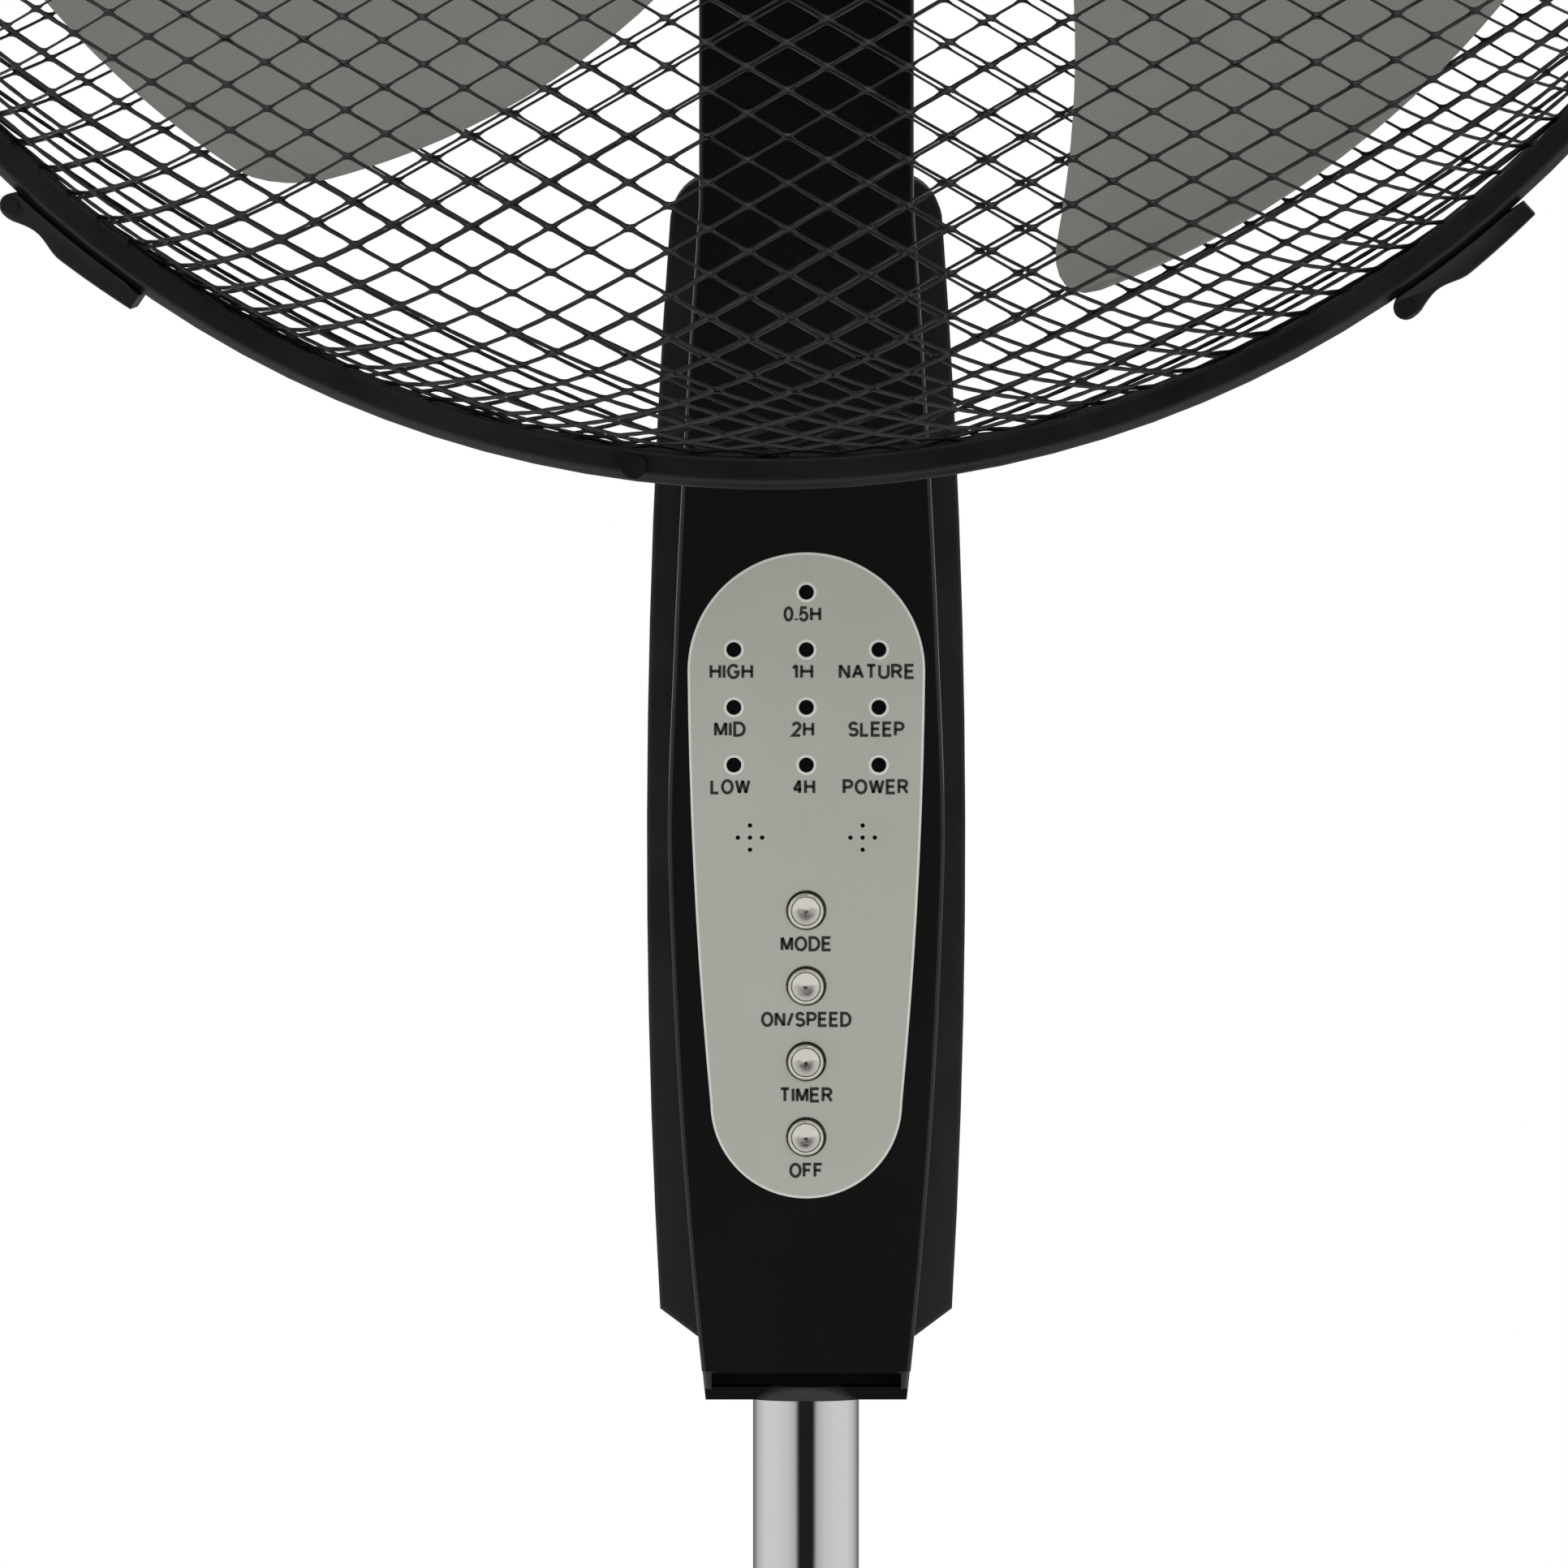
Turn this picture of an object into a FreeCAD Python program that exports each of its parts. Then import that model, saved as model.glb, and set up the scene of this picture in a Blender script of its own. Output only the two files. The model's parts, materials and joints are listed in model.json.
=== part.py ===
import FreeCAD, Part
import math
import os
from types import SimpleNamespace

import Sketcher

# Pedestal fan: a weighted round base, a two-part pole, a control box with a neck column, a tilt and
# swivel joint, a motor with an oscillation gearbox, three blades and a two-part mesh guard.
# Millimetres. +Z is up, the fan faces -Y, and the origin is on the floor under the pole's axis.
# Head pieces are drawn about the Y axis and placed at the hub's height, turned by head_yaw.

SIZES = {
    # base
    "base_radius": 200, "base_rise": 10, "base_height": 32, "base_wall": 3, "boss_radius": 22,
    "foot_height": 3, "foot_radius": 9, "foot_ring": 170, "plate_thickness": 2, "weight_radius": 150,
    "weight_thickness": 6, "bolt_radius": 4, "bolt_head": 8, "bolt_reach": 58, "flange_radius": 33,
    "flange_thickness": 3, "socket_radius": 17.4, "socket_height": 45, "bell_radius": 44,
    "bell_neck": 20.5, "bell_height": 56, "bell_wall": 2, "base_crown": 5,
    # poles and height lock
    "outer_pole_radius": 14, "outer_pole_bore": 13.1, "outer_pole_top": 455, "inner_pole_radius": 10.85,
    "pole_wall": 0.9, "inner_pole_low": 255, "inner_pole_depth": 60, "guide_length": 30, "running_gap": 0.06,
    "free_gap": 0.3, "collar_radius": 19.5, "collar_low": 425, "collar_height": 36, "thread_radius": 17,
    "thread_height": 17, "sleeve_low": 420, "sleeve_top": 482, "ring_radius": 23.5, "ring_top": 490,
    "flute_radius": 2, "flute_count": 14,
    # control box
    "box_low": 655, "box_half_width": 32.4, "box_shoulder_width": 27.6, "box_foot_width": 29.8,
    "box_shoulder": 238, "box_waist": 112, "box_top": 300, "box_wall": 2.4, "column_half": 21.4,
    "stem_half": 18.5, "stem_height": 8, "foot_corner": 16.5, "shoulder_drop": 9, "parting": 8, "box_rear": 26,
    "front_face": 28, "front_low_width": 20.4, "front_waist_width": 27.8, "front_waist": 118,
    "front_column_low": 243, "front_round": 3.2, "rear_round": 7, "pole_hole": 11.2,
    "slot_half": 19.2, "slot_low": 2.6, "slot_top": 6, "slot_depth": 8, "lip_back": 5,
    "flange_wall": 1.6, "flange_reach": 4.2,
    # control panel
    "panel_wide": 23.85, "panel_narrow": 19.3, "panel_top": 172.45, "panel_bottom": 41.7,
    "panel_wide_level": 148.6, "panel_narrow_level": 61, "panel_middle": 22.5, "panel_thickness": 1.6,
    "panel_recess": 1.2, "led_radius": 1.4, "led_hole": 1.5, "led_column": 14.6, "led_top": 164.5,
    "led_first_row": 152.9, "led_pitch": 11.65, "grille_offset": 11.35, "grille_level": 114.9,
    "grille_pitch": 2.45, "grille_hole": 0.45, "button_radius": 3.65, "button_hole": 4.05,
    "button_top": 100.2, "button_pitch": 15.34, "button_stand": 1.2, "button_flange": 5,
    "board_face": 19, "board_thickness": 1.6, "board_half": 18, "board_low": 46, "board_high": 172,
    "switch_side": 6, "switch_height": 2.4, "plunger_radius": 1.75, "plunger_height": 0.5,
    "buzzer_radius": 6, "buzzer_height": 5.6, "screw_head": 3.5, "screw_shank": 1.6, "screw_length": 14,
    # neck, tilt and swivel
    "support_radius": 15, "support_low": 18, "support_height": 52, "web_half_depth": 8, "web_low": 66,
    "tilt_level": 315, "ear_radius": 11, "fork_half": 10.9, "fork_low": 299, "tilt_bolt_radius": 3,
    "tilt_head": 5.5, "knuckle_half": 10.6, "knuckle_radius": 10, "barrel_radius": 7.5, "barrel_top": 42,
    "swivel_radius": 4, "swivel_low": 20, "swivel_high": 47.8, "lug_reach": 18, "lug_half": 4,
    "lug_low": 28, "lug_top": 33, "link_pin": 2,
    # head and motor, along the shaft from the swivel axis; forward is negative
    "hub_level": 1060, "head_yaw": -4, "stator_radius": 42, "stator_bore": 22.3, "rotor_radius": 22,
    "stator_front": 38, "stator_rear": 4, "coil_inner": 25, "coil_outer": 38, "coil_length": 12,
    "shield_radius": 45, "shield_wall": 3, "shield_front": 58, "shield_rear": 18, "nose_radius": 20,
    "nose_front": 72, "bearing_radius": 8, "bearing_length": 12, "shaft_radius": 4, "shaft_front": 128,
    "shaft_rear": 52, "worm_radius": 5.2, "worm_front": 26, "worm_rear": 46, "housing_radius": 60,
    "housing_wall": 2.5, "housing_front": 59, "housing_shoulder": 40, "housing_tail": 92,
    "housing_bend_level": 77.1, "housing_bend_radius": 44.6, "housing_floor": 40,
    "housing_opening": 22, "cap_width": 20, "cap_length": 28, "cap_height": 24, "cap_side": 24,
    "cap_front": 24, "cap_low": 8,
    # oscillation drive
    "gearbox_left": 18, "gearbox_right": 32.5, "gearbox_front": 21, "gearbox_rear": 60, "gearbox_wall": 2.5,
    "gearbox_low": 45.5, "gearbox_high": 14, "wheel_side": 17.5, "wheel_back": 36, "wheel_radius": 12,
    "wheel_thickness": 6, "pinion_radius": 4.4, "pinion_low": 37, "spindle_radius": 2.5,
    "knob_radius": 7, "knob_low": 63, "knob_height": 13, "crank_back": 42, "crank_disc": 15,
    "crank_throw": 11, "crank_shaft": 3, "crank_top": 47.2, "crank_thickness": 3, "gear_radius": 13.8,
    "gear_low": 37, "gear_thickness": 6, "link_half": 2.1, "link_eye": 3.6, "link_length": 56,
    "link_thickness": 2.4,
    # guards, from the swivel axis; the two guards meet at rim_plane
    "rim_plane": 105, "rim_radius": 215, "rim_width": 6, "rim_depth": 6, "guard_skin": 1.2,
    "front_nose": 163, "front_dome": 156, "front_dome_radius": 140, "front_shoulder": 140,
    "front_shoulder_radius": 190, "rear_seat": 61.5, "rear_seat_radius": 60, "rear_dome": 67,
    "rear_dome_radius": 140, "rear_shoulder": 80, "rear_shoulder_radius": 190, "rear_bore": 20.3,
    "mesh_long": 48, "mesh_short": 27, "mesh_strand": 4, "mesh_clear": 196, "badge_radius": 46,
    "badge_thickness": 4, "nut_radius": 34, "clip_thickness": 5, "clip_length": 30,
    "clip_depth": 16, "clip_first": 38.5, "clip_pin": 1.5, "rim_screw_angle": 7,
    "rim_screw_radius": 1.5, "rim_screw_head": 2.4, "rim_screw_length": 9,
    # blades
    "tip_radius": 187.5, "hub_radius": 32, "hub_front": 118, "hub_rear": 78, "hub_wall": 3,
    "hub_bore": 4, "blade_lead": 15.5, "blade_span": 70.7, "blade_sweep": 36, "blade_front": 124,
    "blade_rear": 84, "blade_thickness": 1.8, "lead_round": 12, "trail_round": 26, "trail_sweep": 32,
    "spinner_radius": 17, "spinner_rear": 118.3,
}

# shares of a size, without a unit
FOOT_SLOPE = 0.6
SHOULDER_IN = 0.28
LOW_BULGE = 0.7
HIGH_BULGE = 0.35
BEND_SHARE = 0.7
STRAND_SHARE = 0.6
OPENING_REACH = 0.7
# blade form: how closely rows crowd to the tip, and how the blade curves from edge to edge
ROW_CROWDING = 1.5
CAMBER = 0.25
BELLY = 0.12

CLIP_COUNT = 5
BLADE_COUNT = 3
FOOT_COUNT = 5
OUT = "parts"

doc = FreeCAD.newDocument("PedestalFan")
sheet = doc.addObject("Spreadsheet::Sheet", "Sizes")
pieces = []
checked_cuts = []


class Size:
    """A number together with the expression that gives it from the sheet's cells."""

    def __init__(self, value, text):
        self.value = value
        self.text = text

    def __add__(self, other):
        other = as_size(other)
        return Size(self.value + other.value, f"({self.text} + {other.text})")

    def __sub__(self, other):
        other = as_size(other)
        return Size(self.value - other.value, f"({self.text} - {other.text})")

    def __mul__(self, other):
        other = as_size(other)
        return Size(self.value * other.value, f"{self.text} * {other.text}")

    def __truediv__(self, other):
        other = as_size(other)
        return Size(self.value / other.value, f"{self.text} / {other.text}")

    def __neg__(self):
        return Size(-self.value, f"(0 - {self.text})")

    def __rsub__(self, other):
        return as_size(other) - self

    __radd__ = __add__
    __rmul__ = __mul__


def as_size(number):
    return number if isinstance(number, Size) else Size(number, repr(number))


def fill_sheet():
    """Writes every driving size in its own named cell and returns them by name."""
    for row, (name, value) in enumerate(SIZES.items(), start=1):
        sheet.set(f"A{row}", name)
        sheet.set(f"B{row}", str(value))
        sheet.setAlias(f"B{row}", name)
    doc.recompute()
    return SimpleNamespace(**{name: Size(value, f"Sizes.{name}") for name, value in SIZES.items()})


# ---------------------------------------------------------------- drawing helpers

def piece(name):
    """A new body whose label is the node's name."""
    body = doc.addObject("PartDesign::Body", name)
    body.Label = name
    pieces.append(body)
    return body


def keep(shape_object, name):
    """Registers a Part object as a piece."""
    shape_object.Label = name
    pieces.append(shape_object)
    return shape_object


def origin_plane(body, role):
    return [feature for feature in body.Origin.OriginFeatures if feature.Role == role][0]


def new_sketch(body, plane, lift=0):
    """A sketch on one of the body's origin planes, moved along the plane's normal by lift."""
    sketch = body.newObject("Sketcher::SketchObject", f"{body.Name}Sketch")
    sketch.AttachmentSupport = [(origin_plane(body, plane), "")]
    sketch.MapMode = "FlatFace"
    lift = as_size(lift)
    if lift.value:
        sketch.AttachmentOffset = FreeCAD.Placement(FreeCAD.Vector(0, 0, lift.value), FreeCAD.Rotation())
        sketch.setExpression("AttachmentOffset.Base.z", lift.text)
    return sketch


def bind(sketch, kind, name, size, *refs):
    """Adds a dimension to the sketch and ties it to the sheet."""
    sketch.addConstraint(Sketcher.Constraint(kind, *refs, size.value))
    index = sketch.ConstraintCount - 1
    label = f"{name}{index}"
    sketch.renameConstraint(index, label)
    sketch.setExpression(f"Constraints.{label}", size.text)


def pin_point(sketch, geometry, end, point):
    """Fixes one end of a piece of geometry at the point's two sizes."""
    for kind, size, axis in (("DistanceX", point[0], -2), ("DistanceY", point[1], -1)):
        size = as_size(size)
        if size.value:
            bind(sketch, kind, kind[-1].lower(), size, -1, 1, geometry, end)
        else:
            sketch.addConstraint(Sketcher.Constraint("PointOnObject", geometry, end, axis))


def vector(point):
    return FreeCAD.Vector(as_size(point[0]).value, as_size(point[1]).value, 0)


def draw_outline(sketch, outline):
    """A closed loop. A point written (x, y, "via") is where an arc passes on its way to the next corner."""
    corners = [point for point in outline if len(point) == 2]
    vias = {}
    count = 0
    for point in outline:
        if len(point) == 2:
            count += 1
        else:
            vias[count - 1] = point
    ends = []
    for index, corner in enumerate(corners):
        following = corners[(index + 1) % len(corners)]
        start, stop = vector(corner), vector(following)
        if index in vias:
            middle = vector(vias[index])
            leftward = (middle - start).cross(stop - middle).z > 0
            arc = Part.Arc(start, middle, stop) if leftward else Part.Arc(stop, middle, start)
            edge = sketch.addGeometry(arc)
            ends.append((edge, 1, 2) if leftward else (edge, 2, 1))
            marker = sketch.addGeometry(Part.Point(middle), True)
            sketch.addConstraint(Sketcher.Constraint("PointOnObject", marker, 1, edge))
            pin_point(sketch, marker, 1, vias[index])
        else:
            edge = sketch.addGeometry(Part.LineSegment(start, stop))
            ends.append((edge, 1, 2))
    for index, (edge, first, last) in enumerate(ends):
        next_edge, next_first, _ = ends[(index + 1) % len(ends)]
        sketch.addConstraint(Sketcher.Constraint("Coincident", edge, last, next_edge, next_first))
        pin_point(sketch, edge, first, corners[index])


def draw_circle(sketch, centre, radius):
    circle = sketch.addGeometry(Part.Circle(vector(centre), FreeCAD.Vector(0, 0, 1), radius.value))
    pin_point(sketch, circle, 3, centre)
    bind(sketch, "Radius", "r", radius, circle)


def outline_sketch(body, plane, outline, lift=0):
    sketch = new_sketch(body, plane, lift)
    draw_outline(sketch, outline)
    return sketch


def circle_sketch(body, plane, circles, lift=0):
    sketch = new_sketch(body, plane, lift)
    for centre, radius in circles:
        draw_circle(sketch, centre, radius)
    return sketch


def pad(body, sketch, length):
    """Grows the sketch along its normal: +Z on the XY plane, -Y on XZ and +X on YZ."""
    feature = body.newObject("PartDesign::Pad", f"{body.Name}Pad")
    feature.Profile = sketch
    feature.Length = length.value
    feature.setExpression("Length", length.text)
    return feature


def pocket(body, sketch, length, along_normal=False):
    """Cuts the sketch against its normal, or along it."""
    feature = body.newObject("PartDesign::Pocket", f"{body.Name}Pocket")
    feature.Profile = sketch
    feature.Length = length.value
    feature.setExpression("Length", length.text)
    feature.Reversed = along_normal
    checked_cuts.append(feature)
    return feature


def turned(name, outline, plane="XZ_Plane", axis="V_Axis"):
    """A piece turned about an axis of its sketch."""
    body = piece(name)
    sketch = outline_sketch(body, plane, outline)
    feature = body.newObject("PartDesign::Revolution", f"{name}Turn")
    feature.Profile = sketch
    feature.ReferenceAxis = (sketch, [axis])
    feature.Angle = 360
    return body


def turned_on_shaft(name, outline):
    """A head piece turned about the shaft. The outline is (distance along Y, radius)."""
    return in_head(turned(name, outline, "YZ_Plane", "H_Axis"))


def box_outline(low, high):
    return [(low[0], low[1]), (high[0], low[1]), (high[0], high[1]), (low[0], high[1])]


def place(shape_object, x=0, y=0, z=0):
    """Places a piece by sizes along X, Y and Z."""
    for axis, size in (("x", x), ("y", y), ("z", z)):
        shape_object.setExpression(f"Placement.Base.{axis}", as_size(size).text)
    return shape_object


def turn_about_z(item, angle):
    """Turns a placed piece about its own vertical by an expression in degrees."""
    upright = FreeCAD.Rotation(FreeCAD.Vector(0, 0, 1), 1)
    item.Placement = FreeCAD.Placement(item.Placement.Base, upright)
    item.setExpression("Placement.Rotation.Angle", angle)


def set_box(box, length, width, height):
    for side, size in (("Length", length), ("Width", width), ("Height", height)):
        box.setExpression(side, size.text)


def in_head(shape_object):
    """Lifts a piece to the hub's height and turns it with the head about the swivel axis."""
    shape_object.Placement = FreeCAD.Placement(
        FreeCAD.Vector(0, 0, s.hub_level.value),
        FreeCAD.Rotation(FreeCAD.Vector(0, 0, 1), s.head_yaw.value))
    place(shape_object, z=s.hub_level)
    shape_object.setExpression("Placement.Rotation.Angle", s.head_yaw.text)
    return shape_object


def in_box(shape_object):
    return place(shape_object, z=s.box_low)


def cylinder(name, radius, height, place_at, direction=FreeCAD.Vector(0, 0, 1)):
    """A plain cylinder whose base centre and direction are given."""
    solid = doc.addObject("Part::Cylinder", name)
    for prop, size in (("Radius", radius), ("Height", height)):
        setattr(solid, prop, size.value)
        solid.setExpression(prop, size.text)
    turn = FreeCAD.Rotation(FreeCAD.Vector(0, 0, 1), direction)
    base = FreeCAD.Vector(*[as_size(size).value for size in place_at])
    solid.Placement = FreeCAD.Placement(base, turn)
    for axis, size in zip("xyz", place_at):
        solid.setExpression(f"Placement.Base.{axis}", as_size(size).text)
    return solid


def group(name, members):
    """Separate solids that share one node."""
    compound = doc.addObject("Part::Compound", name)
    compound.Links = members
    return keep(compound, name)


def screw(name, head_radius, shank_radius, length, place_at, direction):
    """A pan-head screw. The point given is the middle of the seat under its head."""
    head = cylinder(f"{name}Head", head_radius, head_radius * 0.6, place_at, direction)
    shank = cylinder(f"{name}Shank", shank_radius, length, place_at, -direction)
    fused = doc.addObject("Part::Fuse", name)
    fused.Base = head
    fused.Tool = shank
    return fused


def on_circle(radius, degrees):
    """X and Z of a point of the head, at an angle from straight down towards +X."""
    angle = math.radians(degrees)
    return radius * math.sin(angle), radius * -math.cos(angle)


# ---------------------------------------------------------------- base

def make_base():
    floor_low = s.foot_height
    weight_low = floor_low + s.plate_thickness
    weight_top = weight_low + s.weight_thickness
    inner_top = s.base_height - s.base_wall
    shaft_clear = s.bolt_radius + s.free_gap
    rim_top = floor_low + s.base_rise
    crown = rim_top + (s.base_height - rim_top) / 2 + s.base_crown
    turned("base_cover", [
        (shaft_clear, weight_top),
        (s.boss_radius, weight_top),
        (s.boss_radius, inner_top),
        (s.bell_radius, inner_top),
        (s.base_radius * 0.62, crown - s.base_wall, "via"),
        (s.base_radius - s.base_wall, rim_top - s.base_wall),
        (s.base_radius - s.base_wall, floor_low),
        (s.base_radius, floor_low),
        (s.base_radius, rim_top),
        (s.base_radius * 0.63, crown, "via"),
        (s.bell_radius, s.base_height),
        (shaft_clear, s.base_height),
    ])
    turned("base_plate", [
        (s.boss_radius, floor_low),
        (s.base_radius - s.base_wall - s.free_gap, floor_low),
        (s.base_radius - s.base_wall - s.free_gap, weight_low),
        (s.boss_radius, weight_low),
    ])
    turned("base_weight", [
        (shaft_clear, weight_low),
        (s.weight_radius, weight_low),
        (s.weight_radius, weight_top),
        (shaft_clear, weight_top),
    ])
    # a thin rubber disc under the bolt's head is the middle foot
    feet = [cylinder("FootMiddle", s.bolt_head, s.foot_height / 3, (0, 0, 0))]
    screws = []
    for index in range(FOOT_COUNT):
        angle = 2 * math.pi * index / FOOT_COUNT
        spot = (s.foot_ring * math.sin(angle), s.foot_ring * math.cos(angle))
        feet.append(cylinder(f"Foot{index}", s.foot_radius, s.foot_height, (*spot, 0)))
        spot = (s.foot_ring * math.sin(angle + math.pi / FOOT_COUNT),
                s.foot_ring * math.cos(angle + math.pi / FOOT_COUNT))
        screws.append(screw(f"BaseScrew{index}", s.screw_head, s.screw_shank, s.plate_thickness,
                            (*spot, s.foot_height), FreeCAD.Vector(0, 0, -1)))
    group("base_feet", feet)
    group("base_screws", screws)
    socket_floor = s.base_height + s.flange_thickness
    turned("pole_socket", [
        (shaft_clear, s.base_height),
        (s.flange_radius, s.base_height),
        (s.flange_radius, socket_floor),
        (s.socket_radius, socket_floor),
        (s.socket_radius, s.base_height + s.socket_height),
        (s.outer_pole_radius + s.running_gap, s.base_height + s.socket_height),
        (s.outer_pole_radius + s.running_gap, socket_floor),
        (shaft_clear, socket_floor),
    ])
    turned("base_bolt", [
        (0, s.foot_height / 3),
        (s.bolt_head, s.foot_height / 3),
        (s.bolt_head, weight_low),
        (s.bolt_radius, weight_low),
        (s.bolt_radius, s.bolt_reach),
        (0, s.bolt_reach),
    ])
    bell_top = s.base_height + s.bell_height
    bell_bore = s.outer_pole_radius + s.free_gap
    turned("socket_cover", [
        (s.bell_radius, s.base_height),
        (s.bell_neck + 6, s.base_height + s.bell_height * 0.3, "via"),
        (s.bell_neck, bell_top - s.bell_wall * 3),
        (s.bell_neck - s.bell_wall, bell_top),
        (bell_bore, bell_top),
        (bell_bore, bell_top - s.bell_wall),
        (s.bell_neck - s.bell_wall, bell_top - s.bell_wall * 3),
        (s.bell_neck + 6 - s.bell_wall, s.base_height + s.bell_height * 0.3, "via"),
        (s.bell_radius - s.bell_wall, s.base_height),
    ])


# ---------------------------------------------------------------- poles and height lock

def make_poles():
    foot = s.base_height + s.flange_thickness
    plug_top = foot + s.plate_thickness * 4
    turned("outer_pole", [
        (s.bolt_radius, foot),
        (s.outer_pole_radius, foot),
        (s.outer_pole_radius, s.outer_pole_top),
        (s.outer_pole_bore, s.outer_pole_top),
        (s.outer_pole_bore, plug_top),
        (s.bolt_radius, plug_top),
    ])
    collar_bore = s.outer_pole_radius
    thread_low = s.collar_low + s.collar_height
    turned("height_collar", [
        (collar_bore, s.collar_low),
        (s.collar_radius - s.bell_wall, s.collar_low),
        (s.collar_radius, s.collar_low + s.bell_wall * 2),
        (s.collar_radius, thread_low),
        (s.thread_radius, thread_low),
        (s.thread_radius, thread_low + s.thread_height),
        (collar_bore, thread_low + s.thread_height),
    ])
    sleeve_bore = s.inner_pole_radius + s.running_gap
    turned("clamp_sleeve", [
        (sleeve_bore, s.sleeve_low),
        (s.outer_pole_bore - s.running_gap, s.sleeve_low),
        (s.outer_pole_bore - s.running_gap, s.outer_pole_top),
        (collar_bore - s.running_gap, s.outer_pole_top),
        (collar_bore - s.running_gap, s.outer_pole_top + s.thread_height),
        (collar_bore - s.bell_wall, s.sleeve_top),
        (sleeve_bore, s.sleeve_top),
    ])
    ring = turned("lock_ring", [
        (s.thread_radius + s.running_gap, thread_low + s.free_gap),
        (s.ring_radius - 1, thread_low + s.free_gap),
        (s.ring_radius, thread_low + s.bell_wall),
        (s.ring_radius, s.ring_top - s.bell_wall * 2),
        (s.ring_radius - s.bell_wall, s.ring_top),
        (s.inner_pole_radius + s.free_gap * 2, s.ring_top),
        (s.inner_pole_radius + s.free_gap * 2, s.sleeve_top + s.bell_wall),
        (collar_bore, s.sleeve_top + s.free_gap),
        (s.thread_radius + s.running_gap, s.sleeve_top - s.bell_wall),
    ])
    flute = circle_sketch(ring, "XY_Plane", [((s.ring_radius + 1, 0), s.flute_radius)], s.ring_top)
    cut = pocket(ring, flute, s.ring_top - thread_low)
    pattern = ring.newObject("PartDesign::PolarPattern", "LockRingFlutes")
    pattern.Originals = [cut]
    pattern.Axis = (flute, ["N_Axis"])
    pattern.Angle = 360
    pattern.Occurrences = int(s.flute_count.value)
    ring.Tip = pattern
    pole_top = s.box_low + s.inner_pole_depth
    turned("inner_pole", [
        (s.inner_pole_radius - s.pole_wall, s.inner_pole_low),
        (s.inner_pole_radius, s.inner_pole_low),
        (s.inner_pole_radius, pole_top),
        (s.inner_pole_radius - s.pole_wall, pole_top),
    ])
    turned("pole_guide", [
        (s.inner_pole_radius, s.inner_pole_low),
        (s.outer_pole_bore - s.running_gap, s.inner_pole_low),
        (s.outer_pole_bore - s.running_gap, s.inner_pole_low + s.guide_length),
        (s.inner_pole_radius, s.inner_pole_low + s.guide_length),
    ])


# ---------------------------------------------------------------- control box

def mirrored(half):
    """A closed outline from its right half, which runs upwards from the bottom middle."""
    left = [(-as_size(point[0]), *point[1:]) for point in reversed(half)]
    return half + left


def rear_outline(inset):
    """Rear shell seen from the front: a stem, slanted feet, barrel sides, shoulders and a column."""
    return mirrored([
        (s.stem_half - inset, inset),
        (s.stem_half - inset, s.stem_height + inset),
        (s.box_foot_width - inset, s.foot_corner + inset * FOOT_SLOPE),
        (s.box_half_width - inset, s.box_waist, "via"),
        (s.box_shoulder_width - inset, s.box_shoulder - inset),
        (s.box_shoulder_width - s.shoulder_drop * SHOULDER_IN - inset,
         s.box_shoulder + s.shoulder_drop * (1 - SHOULDER_IN) - inset, "via"),
        (s.column_half - inset, s.box_shoulder + s.shoulder_drop - inset),
        (s.column_half - inset, s.box_top),
    ])


def front_outline(inset, top=None):
    """Front shell seen from the front: a barrel that narrows to the neck column."""
    waist_low = (s.front_low_width + s.front_waist_width) / 2 + s.bell_wall * LOW_BULGE
    waist_high = (s.column_half + s.front_waist_width) / 2 + s.bell_wall * HIGH_BULGE
    return mirrored([
        (s.front_low_width - inset, inset),
        (waist_low - inset, s.front_waist / 2, "via"),
        (s.front_waist_width - inset, s.front_waist),
        (waist_high - inset, (s.front_waist + s.front_column_low) / 2, "via"),
        (s.column_half - inset, s.front_column_low),
        (s.column_half - inset, top or s.box_top),
    ])


def panel_outline(inset):
    return [
        (s.panel_wide - inset, s.panel_wide_level),
        (0, s.panel_top - inset, "via"),
        (inset - s.panel_wide, s.panel_wide_level),
        (inset - s.panel_middle, (s.panel_wide_level + s.panel_narrow_level) / 2, "via"),
        (inset - s.panel_narrow, s.panel_narrow_level),
        (0, s.panel_bottom + inset, "via"),
        (s.panel_narrow - inset, s.panel_narrow_level),
        (s.panel_middle - inset, (s.panel_wide_level + s.panel_narrow_level) / 2, "via"),
    ]


def button_levels():
    return [s.button_top - s.button_pitch * index for index in range(4)]


def led_spots():
    spots = [(0, s.led_top)]
    for row in range(3):
        for column in (-1, 0, 1):
            spots.append((s.led_column * column if column else 0, s.led_first_row - s.led_pitch * row))
    return spots


def grille_spots():
    spots = []
    for side in (-1, 1):
        for across, up in ((0, 0), (1, 0), (-1, 0), (0, 1), (0, -1)):
            level = s.grille_level + s.grille_pitch * up
            spots.append((s.grille_offset * side + s.grille_pitch * across, level))
    return spots


def edges_at_depth(shape, depth):
    """Names of the edges that lie wholly at one distance along Y."""
    return [f"Edge{number}" for number, edge in enumerate(shape.Edges, start=1)
            if abs(edge.BoundBox.YMin - depth) < 1e-4 and abs(edge.BoundBox.YMax - depth) < 1e-4]


def round_over(body, base, depth, radius):
    """Rounds the edges of a face at one distance along Y."""
    doc.recompute()
    fillet = body.newObject("PartDesign::Fillet", f"{body.Name}Round")
    fillet.Base = (base, edges_at_depth(base.Shape, depth))
    fillet.Radius = radius.value
    fillet.setExpression("Radius", radius.text)
    return fillet


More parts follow.
